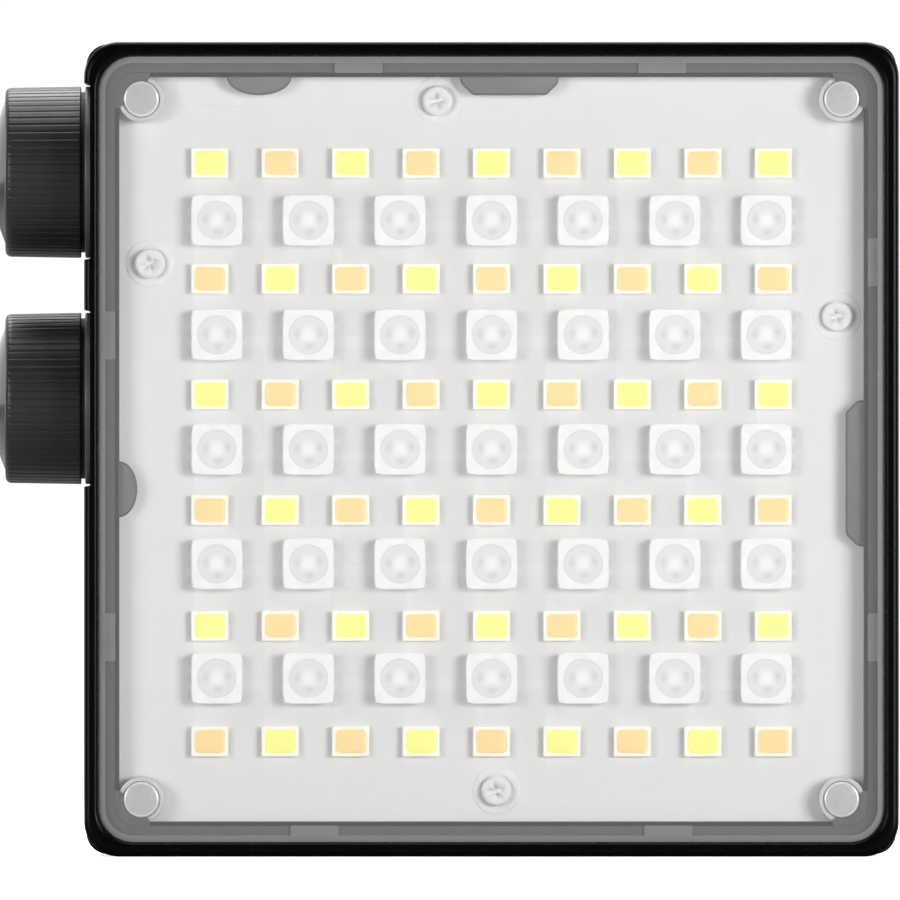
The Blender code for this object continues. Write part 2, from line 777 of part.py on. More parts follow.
def board_sheet(name, front, back, material, body):
    """A flat sheet that fills the chassis, cut round its lugs, posts and screws."""
    outline = rectangle((0, 0), INNER_WIDTH - 2 * CLOSE_GAP, INNER_HEIGHT - 2 * CLOSE_GAP)
    sheet = piece(name, prism(outline, front, back), material, body)
    cut_board_outline(sheet, front - RIM_WALL, back + RIM_WALL)
    cut_screw_holes(sheet, front - RIM_WALL, back + RIM_WALL)
    return sheet


def grid(counts, margin, lowered=0.0):
    """The centres of a grid of LEDs that keeps a margin to the board's edges."""
    columns, rows = counts
    first_x = margin[0] - INNER_WIDTH / 2
    first_z = margin[1] - INNER_HEIGHT / 2
    places = []
    for row in range(rows):
        for column in range(columns):
            x = first_x - 2 * first_x * column / (columns - 1)
            z = first_z - 2 * first_z * row / (rows - 1)
            places.append((x, z - lowered))
    return places


def led_board(body):
    """The white board with its two grids of LEDs soldered on."""
    board = board_sheet("led_board", BOARD_FRONT, BOARD_BACK, white_board(), body)
    packages = bmesh.new()
    for place in grid(WHITE_LED_GRID, WHITE_LED_MARGIN, WHITE_LED_LOWERED):
        outline = rectangle(place, *WHITE_LED_SIZE)
        add_prism(packages, outline, BOARD_FRONT - WHITE_LED_HEIGHT, BOARD_FRONT + LED_SINK)
    for place in grid(RGB_LED_GRID, RGB_LED_MARGIN):
        outline = rectangle(place, *RGB_LED_SIZE)
        add_prism(packages, outline, BOARD_FRONT - RGB_LED_HEIGHT, BOARD_FRONT + LED_SINK)
    join(board, packages)
    return board


def cut_ribbon_notch(sheet, front, back):
    """The notch in a sheet's lower edge that the ribbon passes through."""
    bottom = BOTTOM
    top = BOTTOM + RIBBON_RISE + RIBBON_NOTCH_MARGIN
    centre = (RIBBON_OFFSET, (bottom + top) / 2)
    outline = rectangle(centre, RIBBON_WIDTH + 2 * RIBBON_NOTCH_MARGIN, top - bottom)
    cut(sheet, prism(outline, front - RIM_WALL, back + RIM_WALL))


def thermal_pad(body):
    pad = board_sheet("thermal_pad", PAD_FRONT, PAD_BACK, grey_pad(), body)
    cut_ribbon_notch(pad, PAD_FRONT, PAD_BACK)
    return pad


def heat_plate(body):
    plate = board_sheet("heat_plate", PLATE_FRONT, PLATE_BACK, plate_aluminium(), body)
    cut_ribbon_notch(plate, PLATE_FRONT, PLATE_BACK)
    return plate


def screw(name, place, under_head, length, head_radius, head_height, material, body, facing):
    """A pan-head screw; facing is -1 where its head looks forwards and 1 where it looks back."""
    head_top = under_head + facing * head_height
    drive_floor = head_top - facing * SCREW_DRIVE_DEPTH
    tip = under_head - facing * length
    profile = [
        (tip, 0.0),
        (tip, SCREW_RADIUS),
        (under_head, SCREW_RADIUS),
        (under_head, head_radius),
        (head_top - facing * SCREW_HEAD_EDGE, head_radius),
        (head_top, head_radius - SCREW_HEAD_EDGE),
        (head_top, SCREW_DRIVE_RADIUS),
        (drive_floor, SCREW_DRIVE_RADIUS),
        (drive_floor, 0.0),
    ]
    return piece(name, turned(profile, "Y", SMALL_STEPS), material, body, (place[0], 0.0, place[1]))


def board_screws(body):
    length = PLATE_BACK - BOARD_FRONT + FIT_GAP
    for i, place in enumerate(board_screw_places(), 1):
        name = f"board_screw_{i}"
        under_head = BOARD_FRONT - CLOSE_GAP
        sizes = (BOARD_SCREW_HEAD_RADIUS, BOARD_SCREW_HEAD_HEIGHT)
        screw(name, place, under_head, length, *sizes, white_board(), body, -1)


def rear_screws(body):
    for i, place in enumerate(corners(POST_INSET), 1):
        name = f"rear_screw_{i}"
        under_head = BACK - SCREW_HEAD_HEIGHT
        sizes = (SCREW_HEAD_RADIUS, SCREW_HEAD_HEIGHT)
        screw(name, place, under_head, REAR_SCREW_LENGTH, *sizes, black_screw(), body, 1)


def corner_magnets(body):
    for i, (x, z) in enumerate(corners(POST_INSET), 1):
        front = CHASSIS_FRONT + RUN_GAP
        disc = turned(rod_profile(front, front + MAGNET_THICKNESS, MAGNET_RADIUS), "Y")
        piece(f"corner_magnet_{i}", disc, nickel(), body, (x, 0.0, z))


def control_board(body):
    """The main circuit board, with its larger components soldered on its front face."""
    left = LEFT + CONTROL_BOARD_LEFT_MARGIN
    right = RIGHT - SEAT_WALL - CONTROL_BOARD_SIDE_GAP
    height = BODY_HEIGHT - 2 * CONTROL_BOARD_END_MARGIN
    outline = rectangle(((left + right) / 2, 0.0), right - left, height)
    board = piece("control_board", prism(outline, CONTROL_FRONT, CONTROL_BACK), green_board(), body)
    components = bmesh.new()
    for x, drop, width, length in COMPONENTS:
        outline = rectangle((x, TOP - drop), width, length)
        sunk = CONTROL_FRONT + CONTROL_BOARD_THICKNESS / 2
        add_prism(components, outline, CONTROL_FRONT - COMPONENT_HEIGHT, sunk)
    join(board, components)
    return board


def battery_box():
    """The battery pack's lowest and highest corners."""
    left = POCKET_FLOOR + ENCODER_BOARD_FACE + ENCODER_BOARD_THICKNESS + BATTERY_SIDE_GAP
    bottom = BOTTOM + TRIPOD_RECESS + TRIPOD_LENGTH + BATTERY_INSERT_GAP
    low = (left, PLATE_BACK + FIT_GAP, bottom)
    back = CONTROL_FRONT - COMPONENT_HEIGHT - FIT_GAP
    right = RIGHT - PORT_RECESS - PORT_DEPTH - BATTERY_PORT_GAP
    high = (right, back, TOP - BATTERY_TOP_MARGIN)
    return low, high


def battery_pack(body):
    low, high = battery_box()
    centre = ((low[0] + high[0]) / 2, (low[1] + high[1]) / 2)
    outline = rounded_rectangle(centre, high[0] - low[0], high[1] - low[1], BATTERY_EDGE_ROUND)
    return piece("battery_pack", prism(outline, low[2], high[2], "Z"), battery_wrap(), body)


def battery_connector(body):
    """The socket on the control board that the two battery leads plug into."""
    width, depth, height = CONNECTOR_SIZE
    outline = rectangle((CONNECTOR_OFFSET, TOP - CONNECTOR_DROP), width, height)
    back = CONTROL_FRONT - FIT_GAP
    return piece("battery_connector", prism(outline, back - depth, back), cream_plastic(), body)


def battery_lead(name, index, material, body):
    """A lead from the top of the battery pack, turning sideways into its connector."""
    low, high = battery_box()
    middle = (low[1] + high[1]) / 2
    aside = LEAD_PITCH * (0.5 - index)
    start = Vector((LEAD_START - aside, middle, high[2] + FIT_GAP))
    end_x = CONNECTOR_OFFSET - CONNECTOR_SIZE[0] / 2 - FIT_GAP
    end_y = CONTROL_FRONT - FIT_GAP - CONNECTOR_SIZE[1] / 2
    end = Vector((end_x, end_y, TOP - CONNECTOR_DROP + aside))
    rise = (end.z - start.z) * LEAD_BEND
    handles = (start, start + Vector((0, 0, rise)), end - Vector((2 * rise, 0, 0)), end)
    curve = bpy.data.curves.new(name, "CURVE")
    curve.dimensions = "3D"
    curve.bevel_depth = LEAD_RADIUS
    curve.bevel_resolution = 2
    curve.use_fill_caps = True
    spline = curve.splines.new("POLY")
    spline.points.add(LEAD_STEPS)
    for i in range(LEAD_STEPS + 1):
        t = i / LEAD_STEPS
        weights = ((1 - t) ** 3, 3 * t * (1 - t) ** 2, 3 * t * t * (1 - t), t**3)
        place = sum((handle * weight for handle, weight in zip(handles, weights)), Vector())
        spline.points[i].co = (*place, 1.0)
    curve.materials.append(material)
    made = bpy.data.objects.new(name, curve)
    made.parent = body
    bpy.context.collection.objects.link(made)
    return made


def led_ribbon(body):
    """The flat ribbon from behind the LED board, back under the battery and up the control board."""
    height = BOTTOM + RIBBON_RISE
    back = CONTROL_FRONT - FIT_GAP
    bend = (back - RIBBON_BEND, height + RIBBON_BEND)
    outer = arc(bend, RIBBON_BEND, -90, 0, CORNER_STEPS)
    inner = arc(bend, RIBBON_BEND - RIBBON_THICKNESS, 0, -90, CORNER_STEPS)
    start = BOARD_BACK + FIT_GAP
    top = height + RIBBON_LENGTH_UP
    outline = [(start, height)] + outer + [(back, top), (back - RIBBON_THICKNESS, top)]
    outline += inner + [(start, height + RIBBON_THICKNESS)]
    near = RIBBON_OFFSET - RIBBON_WIDTH / 2
    strip = prism(outline, near, near + RIBBON_WIDTH, "X")
    return piece("led_ribbon", strip, amber_film(), body)


def port_y():
    """The charging port's middle: it is soldered to the control board's front face."""
    return CONTROL_FRONT - FIT_GAP - PORT_HEIGHT / 2


def usb_c_shell(body):
    """The port's drawn metal shell, open at its mouth."""
    mouth = RIGHT - PORT_RECESS
    place = (port_y(), PORT_OFFSET)
    outline = rounded_rectangle(place, PORT_HEIGHT, PORT_WIDTH, PORT_HEIGHT * ROUND_END)
    shell = piece("usb_c_shell", prism(outline, mouth - PORT_DEPTH, mouth, "X"), bright_steel(), body)
    hollow_height = PORT_HEIGHT - 2 * PORT_WALL
    hollow_width = PORT_WIDTH - 2 * PORT_WALL
    hollow = rounded_rectangle(place, hollow_height, hollow_width, hollow_height * ROUND_END)
    cut(shell, prism(hollow, mouth - PORT_DEPTH + PORT_WALL, mouth + RIM_WALL, "X"))
    return shell


def usb_c_tongue(body):
    """The contact tongue in the middle of the port."""
    back = RIGHT - PORT_RECESS - PORT_DEPTH + PORT_WALL + FIT_GAP
    front = RIGHT - PORT_RECESS - TONGUE_RECESS
    outline = rectangle((port_y(), PORT_OFFSET), TONGUE_THICKNESS, TONGUE_WIDTH)
    return piece("usb_c_tongue", prism(outline, back, front, "X"), black_moulding(), body)


def display_holder(body):
    """The tray on the control board that holds the display against the window."""
    outside = DISPLAY_WIDTH + 2 * (CLOSE_GAP + HOLDER_WALL)
    outside_height = DISPLAY_HEIGHT + 2 * (CLOSE_GAP + HOLDER_WALL)
    centre = (0.0, DISPLAY_OFFSET)
    front = CONTROL_BACK + FIT_GAP
    outline = rectangle(centre, outside, outside_height)
    tray = piece("display_holder", prism(outline, front, HOUSING_BACK), black_moulding(), body)
    hollow = rectangle(centre, DISPLAY_WIDTH + 2 * CLOSE_GAP, DISPLAY_HEIGHT + 2 * CLOSE_GAP)
    floor = HOUSING_BACK - DISPLAY_THICKNESS - CLOSE_GAP
    cut(tray, prism(hollow, floor, BACK))
    return tray


def display_module(body):
    outline = rectangle((0.0, DISPLAY_OFFSET), DISPLAY_WIDTH, DISPLAY_HEIGHT)
    front = HOUSING_BACK - DISPLAY_THICKNESS
    return piece("display_module", prism(outline, front, HOUSING_BACK), display_glass(), body)


def display_window(body):
    outline = rounded_rectangle(
        (0.0, DISPLAY_OFFSET), DISPLAY_WIDTH, DISPLAY_HEIGHT, WINDOW_CORNER - CLOSE_GAP
    )
    slab = prism(outline, BACK - WINDOW_THICKNESS, BACK)
    return piece("display_window", slab, clear_plastic(), body)


def rear_button(kind, place, body):
    """A round cap with a retaining flange and a stem that meets its switch."""
    axis = empty(f"{kind}_button_axis", (place[0], 0.0, place[1]), body)
    flange_back = REAR_COVER_FRONT - FIT_GAP
    flange_front = flange_back - BUTTON_FLANGE_THICKNESS
    stem_end = CONTROL_BACK + FIT_GAP + SWITCH_BASE + SWITCH_ACTUATOR + BUTTON_TRAVEL + RUN_GAP
    profile = [
        (stem_end, 0.0),
        (stem_end, BUTTON_STEM_RADIUS),
        (flange_front, BUTTON_STEM_RADIUS),
        (flange_front, BUTTON_RADIUS + BUTTON_FLANGE),
        (flange_back, BUTTON_RADIUS + BUTTON_FLANGE),
        (flange_back, BUTTON_RADIUS),
        (BACK - BUTTON_EDGE, BUTTON_RADIUS),
        (BACK, BUTTON_RADIUS - BUTTON_EDGE),
        (BACK, 0.0),
    ]
    return piece(f"{kind}_button", turned(profile, "Y"), knob_plastic(), axis)


def tact_switch(kind, place, body):
    """The small switch under a button."""
    front = CONTROL_BACK + FIT_GAP
    outline = rectangle((0, 0), SWITCH_SIDE, SWITCH_SIDE)
    location = (place[0], 0.0, place[1])
    base = piece(f"{kind}_switch", prism(outline, front, front + SWITCH_BASE), nickel(), body, location)
    top = front + SWITCH_BASE + SWITCH_ACTUATOR
    actuator = rod_profile(front + SWITCH_BASE / 2, top, SWITCH_ACTUATOR_RADIUS)
    join(base, turned(actuator, "Y", SMALL_STEPS), location)
    return base


def tripod_insert(body):
    """The brass insert for a quarter-inch tripod screw."""
    low = BOTTOM + TRIPOD_RECESS
    profile = [
        (low, TRIPOD_FLANGE_RADIUS),
        (low + TRIPOD_FLANGE, TRIPOD_FLANGE_RADIUS),
        (low + TRIPOD_FLANGE, TRIPOD_INSERT_RADIUS),
        (low + TRIPOD_LENGTH, TRIPOD_INSERT_RADIUS),
        (low + TRIPOD_LENGTH, TRIPOD_THREAD_RADIUS),
        (low, TRIPOD_THREAD_RADIUS),
    ]
    ring = turned(profile, "Z", ring=True)
    return piece("tripod_insert", ring, insert_brass(), body, (0.0, TRIPOD_Y, 0.0))


def encoder_board(body):
    """The small upright board behind both encoders."""
    face = POCKET_FLOOR + ENCODER_BOARD_FACE
    heights = [z for _, z in dial_centres()]
    low = min(heights) - ENCODER_BOARD_OVERHANG
    high = max(heights) + ENCODER_BOARD_OVERHANG
    outline = rectangle((DIAL_Y, (low + high) / 2), ENCODER_SIDE, high - low)
    board = prism(outline, face, face + ENCODER_BOARD_THICKNESS, "X")
    return piece("encoder_board", board, green_board(), body)


def dial_profile(points):
    """Turns distances outwards from the pocket floor into distances along X."""
    return [(-outwards, radius) for outwards, radius in points]


def dial_seat(name, axis):
    """The flat grey ring between the knob and the pocket floor."""
    inner = RUN_GAP
    profile = dial_profile(tube_profile(inner, inner + SEAT_THICKNESS, KNOB_RADIUS, SEAT_BORE))
    return piece(f"{name}_seat", turned(profile, "X", ring=True), seat_grey(), axis)


def dial_nut(name, axis):
    """The hexagon nut that clamps the bush to the housing."""
    outline = circle((0, 0), NUT_CORNER, 6)
    nut = piece(f"{name}_nut", prism(outline, -NUT_THICKNESS - RUN_GAP, -RUN_GAP, "X"), nickel(), axis)
    bore = dial_profile(rod_profile(-NUT_THICKNESS, 2 * NUT_THICKNESS, NUT_BORE))
    cut(nut, turned(bore, "X"))
    return nut


def dial_bush(name, axis):
    """The threaded sleeve that the shaft turns in."""
    inner = ENCODER_FACE - BUSH_SINK
    outer = POCKET_DEPTH + BUSH_STANDOUT
    profile = dial_profile(tube_profile(inner, outer, BUSH_RADIUS, BUSH_BORE))
    return piece(f"{name}_bush", turned(profile, "X", ring=True), bright_steel(), axis)


def dial_encoder(name, axis):
    """The encoder body, hollow for the bush, the shaft and the push plunger."""
    outline = rectangle((0, 0), ENCODER_SIDE, ENCODER_SIDE)
    case = piece(f"{name}_encoder", prism(outline, -ENCODER_FACE, -ENCODER_BACK, "X"), black_moulding(), axis)
    bush_floor = ENCODER_FACE - BUSH_SINK - FIT_GAP
    shaft_floor = SHAFT_INNER - FIT_GAP
    plunger_floor = shaft_floor - PLUNGER_LENGTH - DIAL_TRAVEL - CLOSE_GAP
    profile = dial_profile([
        (ENCODER_FACE + FIT_GAP, 0.0),
        (ENCODER_FACE + FIT_GAP, BUSH_RADIUS + FIT_GAP),
        (bush_floor, BUSH_RADIUS + FIT_GAP),
        (bush_floor, SHAFT_RADIUS + FIT_GAP),
        (shaft_floor - DIAL_TRAVEL, SHAFT_RADIUS + FIT_GAP),
        (shaft_floor - DIAL_TRAVEL, PLUNGER_RADIUS + CLOSE_GAP),
        (plunger_floor, PLUNGER_RADIUS + CLOSE_GAP),
        (plunger_floor, 0.0),
    ])
    cut(case, turned(profile, "X"))
    return case


def dial_plunger(name, axis):
    """The pin that the shaft pushes on to close the dial's own switch."""
    outer = SHAFT_INNER - RUN_GAP
    profile = dial_profile(rod_profile(outer - PLUNGER_LENGTH, outer, PLUNGER_RADIUS))
    return piece(f"{name}_plunger", turned(profile, "X", SMALL_STEPS), cream_plastic(), axis)


def dial_shaft(name, axis):
    outer = KNOB_OUTER - CAP_SINK - 2 * FIT_GAP
    profile = dial_profile(rod_profile(SHAFT_INNER, outer, SHAFT_RADIUS))
    return piece(f"{name}_shaft", turned(profile, "X"), bright_steel(), axis)


def dial_knob(name, axis):
    """The knob, slightly tapered, with a hollow that clears the nut and a seat for the cap."""
    outer_radius = KNOB_RADIUS - KNOB_TAPER
    cavity_floor = KNOB_INNER + KNOB_CAVITY_DEPTH
    cap_floor = KNOB_OUTER - CAP_SINK - FIT_GAP
    bore = BUSH_BORE
    cap_seat = CAP_RADIUS + RUN_GAP
    profile = dial_profile([
        (KNOB_INNER, KNOB_RADIUS),
        (KNOB_OUTER - KNOB_EDGE, outer_radius),
        (KNOB_OUTER, outer_radius - KNOB_EDGE),
        (KNOB_OUTER, cap_seat),
        (cap_floor, cap_seat),
        (cap_floor, bore),
        (cavity_floor, bore),
        (cavity_floor, KNOB_CAVITY_RADIUS),
        (KNOB_INNER, KNOB_CAVITY_RADIUS),
    ])
    return piece(f"{name}_knob", turned(profile, "X", ring=True), knob_plastic(), axis)


def dial_cap(name, axis):
    """The shallow dome that closes the knob's outer end."""
    sphere_radius = (CAP_RADIUS**2 + CAP_RISE**2) / (2 * CAP_RISE)
    half_angle = math.degrees(math.asin(CAP_RADIUS / sphere_radius))
    centre = (KNOB_OUTER + CAP_RISE - sphere_radius, 0.0)
    dome = arc(centre, sphere_radius, half_angle, 0, CORNER_STEPS)
    dome[-1] = (KNOB_OUTER + CAP_RISE, 0.0)
    inner = KNOB_OUTER - CAP_SINK
    profile = dial_profile([(inner, 0.0), (inner, CAP_RADIUS)] + dome)
    return piece(f"{name}_cap", turned(profile, "X"), cap_gloss(), axis)


def dials(body):
    """Two dials, numbered from the top, each with its pieces on an empty on its own axis."""
    for i, (y, z) in enumerate(dial_centres(), 1):
        name = f"dial_{i}"
        axis = empty(f"{name}_axis", (POCKET_FLOOR, y, z), body)
        for make in (
            dial_seat,
            dial_nut,
            dial_bush,
            dial_encoder,
            dial_plunger,
            dial_shaft,
            dial_knob,
            dial_cap,
        ):
            make(name, axis)


def main():
    for old in list(bpy.data.objects):
        bpy.data.objects.remove(old, do_unlink=True)
    body = empty("body_centre", (KNOB_OUTSIDE / 2, 0.0, BODY_HEIGHT / 2))
    for make in (
        housing,
        rear_cover,
        front_cover,
        chassis,
        led_board,
        thermal_pad,
        heat_plate,
        board_screws,
        rear_screws,
        corner_magnets,
        control_board,
        battery_pack,
        battery_connector,
        led_ribbon,
        usb_c_shell,
        usb_c_tongue,
        display_holder,
        display_module,
        display_window,
        tripod_insert,
        encoder_board,
        dials,
    ):
        make(body)
    for index, (name, material) in enumerate((("red", red_lead()), ("black", black_lead()))):
        battery_lead(f"battery_lead_{name}", index, material, body)
    for kind, place in BUTTON_PLACES.items():
        rear_button(kind, place, body)
        tact_switch(kind, place, body)


main()
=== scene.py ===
import math

import bmesh
import bpy
from mathutils import Matrix, Vector


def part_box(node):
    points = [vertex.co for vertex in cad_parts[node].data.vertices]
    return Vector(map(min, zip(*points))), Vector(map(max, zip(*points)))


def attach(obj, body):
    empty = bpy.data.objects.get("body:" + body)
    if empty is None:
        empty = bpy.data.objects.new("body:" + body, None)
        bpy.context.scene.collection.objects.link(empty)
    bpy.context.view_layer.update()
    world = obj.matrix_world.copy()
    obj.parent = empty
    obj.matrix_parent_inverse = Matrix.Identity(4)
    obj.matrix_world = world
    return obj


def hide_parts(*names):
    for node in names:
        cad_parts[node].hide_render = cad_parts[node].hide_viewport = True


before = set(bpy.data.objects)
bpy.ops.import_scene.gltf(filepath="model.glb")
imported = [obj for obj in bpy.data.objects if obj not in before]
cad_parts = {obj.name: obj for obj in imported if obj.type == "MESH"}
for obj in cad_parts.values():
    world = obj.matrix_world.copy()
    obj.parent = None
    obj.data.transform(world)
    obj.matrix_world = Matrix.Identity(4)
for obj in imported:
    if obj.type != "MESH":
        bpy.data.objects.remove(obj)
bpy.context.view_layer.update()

# The body, from the frame
BODY_LOW, BODY_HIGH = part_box("housing")
REAR_LOW, REAR_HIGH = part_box("rear_cover")
COVER_LOW, COVER_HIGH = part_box("front_cover")
CHASSIS_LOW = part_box("chassis")[0]
BOARD_LOW, BOARD_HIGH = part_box("led_board")
CENTRE_X = (BODY_LOW.x + BODY_HIGH.x) / 2
CENTRE_Z = (BODY_LOW.z + BODY_HIGH.z) / 2
WIDTH = BODY_HIGH.x - BODY_LOW.x
HEIGHT = BODY_HIGH.z - BODY_LOW.z
FRONT = BODY_LOW.y
BACK = REAR_HIGH.y

# The camera's distance and what it takes in
VIEW_WIDTH = 0.09
VIEW_DISTANCE = 4.0
VIEW_SHIFT = Vector((-0.00415, 0.0, -0.00007))
SENSOR = 36.0

# Steps round corners and edges, and how far a cutter stands past what it cuts
CORNER_STEPS = 14
EDGE_STEPS = 6
PAST = 0.001

# Housing and rear cover
CORNER = 0.0035
EDGE_ROUND = 0.0006
SEAM_ROUND = 0.00025
RIM_WALL = 0.00135
RIM_CORNER = 0.0036
RIM_ROUND = 0.00035
SEAT_WALL = 0.00225
SEAT_CORNER = 0.0022
CUT_EDGE = 0.00008
POCKET_MARGIN = 0.0001
POCKET_SLOPE = 0.0003
SEAT_GAP = 0.0001
WINDOW_SEAT = 0.0012
WINDOW_LEDGE = 0.004
KEY_HOLE = 0.004
SCREW_HOLE = 0.0012
SCREW_SINK = 0.0021

# Clear front cover
COVER_GAP = 0.00008
COVER_CORNER = 0.0035
COVER_THICKNESS = 0.0012
COVER_BEVEL = 0.00072
COVER_BEVEL_DEPTH = 0.0005
COVER_EDGE = 0.00012
COVER_BAND = 0.004
TAB_WIDTH = 0.0048
TAB_INSET = 0.00205
TAB_THICKNESS = 0.00105
TAB_OFFSETS = {
    "top": (-0.0133, 0.0171), "bottom": (-0.0177, 0.0177), "left": (0.0114, -0.0188),
    "right": (0.0187, -0.0188)
}

# Inner frame
FRAME_INSET = 0.0015
FRAME_INNER = 0.00345
FRAME_CORNER = 0.0015
FRAME_EDGE = 0.0001
FRAME_STEP = 0.0004
LUG_DROP = 0.0009
LUG_REACH = 0.00185
LUG_RIM = 0.00018
LUG_ROOT = 0.0005
LUG_CORNER = 0.0012
LUG_SOFTENED = 0.0006
ROUND_LUGS = (("top", -0.02325, 0.0065), ("left", -0.004, 0.0056))
WIDE_LUGS = (("top", 0.0018, 0.0098), ("right", -0.0024, 0.0146))
WEB_REACH = 0.0066
WEB_ROOT = 0.0004

# Magnets and their sleeves
MAGNET_RADIUS = 0.0018
MAGNET_EDGE = 0.00024
POST_INSET = 0.0057
SLEEVE_INNER = 0.00185
SLEEVE_OUTER = 0.00232
WEB_BORE = 0.00184

# LED board: how far out from its middle the painted light starts that lifts the shade by the frame's walls,
# and the washers printed round its screws
BOARD_LIGHTENED_FROM = 0.026
WASHER_RISE = 0.00006
WASHER_OUTER = 0.0024
WASHER_INNER = 0.00165

# LEDs
WHITE_GRID = (9, 6)
WHITE_PITCH = (0.00705, 0.01158)
WHITE_LOWERED = 0.0003
WHITE_SIZE = (0.0037, 0.003)
WHITE_HEIGHT = 0.0008
WHITE_BORDER = 0.0003
RGB_GRID = (7, 5)
RGB_PITCH = (0.009167, 0.01146)
RGB_SIDE = 0.0051
RGB_HEIGHT = 0.0016
RGB_CAVITY = 0.002
RGB_CAVITY_DEPTH = 0.0006
RGB_CAVITY_STEPS = 32
BOARD_FACE = BOARD_LOW.y + RGB_HEIGHT

# Screws: head radius, head height and length
BOARD_SCREW = (0.0015, 0.00058, 0.003)
REAR_SCREW = (0.0019, 0.0011, 0.0065)

# Dials
DIALS = ("dial_1", "dial_2")
TEETH = 64
STEPS_PER_TOOTH = 8
GROOVE_DEPTH = 0.00009
GROOVE_SHARE = 0.26
SKIRT_WALL = 0.00045
# A dark sleeve inside the knob, put there as painted shade for the gap between knob and seat
SHADE_SLEEVE_GAP = 0.0001
SHADE_SLEEVE_WALL = 0.0006
SHADE_SLEEVE_REACH = 0.001


def span(node):
    """A node's size along each axis."""
    low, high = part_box(node)
    return high - low


def middle(node):
    low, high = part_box(node)
    return (low + high) / 2


# ---------------------------------------------------------------- nodes


class Value:
    """A node's output that can be added, multiplied and compared like a number."""

    def __init__(self, wiring, socket):
        self.wiring = wiring
        self.socket = socket

    def math(self, operation, *others):
        return self.wiring.maths(operation, self, *others)

    def __add__(self, other):
        return self.math("ADD", other)

    def __sub__(self, other):
        return self.math("SUBTRACT", other)

    def __rsub__(self, other):
        return self.wiring.maths("SUBTRACT", other, self)

    def __mul__(self, other):
        return self.math("MULTIPLY", other)

    def __truediv__(self, other):
        return self.math("DIVIDE", other)

    def __mod__(self, other):
        return self.math("MODULO", other)

    def __pow__(self, other):
        return self.math("POWER", other)

    def __gt__(self, other):
        return self.math("GREATER_THAN", other)

    def __lt__(self, other):
        return self.math("LESS_THAN", other)

    def __abs__(self):
        return self.math("ABSOLUTE")

    def __floor__(self):
        return self.math("FLOOR")

    def fraction(self):
        return self.math("FRACT")

    def at_least(self, other):
        return self.math("MAXIMUM", other)

    def at_most(self, other):
        return self.math("MINIMUM", other)

    __radd__ = __add__
    __rmul__ = __mul__


class Wiring:
    """The nodes of one tree."""

    def __init__(self, tree):
        self.tree = tree

    def feed(self, socket, value):
        if isinstance(value, Value):
            self.tree.links.new(value.socket, socket)
        elif socket.type == "RGBA" and len(value) == 3:
            socket.default_value = (*value, 1.0)
        else:
            socket.default_value = value

    def add(self, kind, inputs=None, output=0, **settings):
        """A node of one kind, its settings first and then its sockets. Returns one output."""
        node = self.tree.nodes.new(kind if "Node" in kind else "ShaderNode" + kind)
        for name, value in settings.items():
            setattr(node, name, value)
        for name, value in (inputs or {}).items():
            self.feed(node.inputs[name], value)
        return Value(self, node.outputs[output]) if node.outputs else None

    def maths(self, operation, *values):
        return self.add("Math", dict(enumerate(values)), operation=operation)


class Recipe(Wiring):
    """One finish: a material and the nodes that make it."""

    def __init__(self, name):
        self.material = bpy.data.materials.new(name)
        self.material.use_nodes = True
        super().__init__(self.material.node_tree)
        self.tree.nodes.clear()

    def place(self):
        return self.add("TexCoord", output="Object")

    def axis(self, letter):
        """One coordinate of the surface, in metres."""
        return self.add("SeparateXYZ", {"Vector": self.place()}, output=letter)

    def noise(self, scale, detail=3.0, roughness=0.5):
        inputs = {"Vector": self.place(), "Scale": scale, "Detail": detail, "Roughness": roughness}
        return self.add("TexNoise", inputs)

    def between(self, value, low, high):
        """A value that runs from 0 to 1, made to run from low to high."""
        return value * (high - low) + low

    def blend(self, factor, first, second):
        """Two colours mixed by a factor."""
        return self.add("Mix", {0: factor, 6: first, 7: second}, output=2, data_type="RGBA")

    def varied(self, colour, spread, scale):
        """A colour with a soft cloudy variation of its brightness."""
        dark = [channel * (1 - spread) for channel in colour]
        light = [min(channel * (1 + spread), 1.0) for channel in colour]
        return self.blend(self.noise(scale), dark, light)

    def bump(self, height, distance):
        inputs = {"Height": height, "Distance": distance, "Strength": 1.0}
        return self.add("Bump", inputs, output="Normal")

    def principled(self, colour, roughness, **sockets):
        inputs = {"Base Color": colour, "Roughness": roughness}
        for name, value in sockets.items():
            inputs[name.replace("_", " ")] = value
        return self.add("BsdfPrincipled", inputs)

    def finish(self, shader):
        self.add("OutputMaterial", {"Surface": shader})
        return self.material


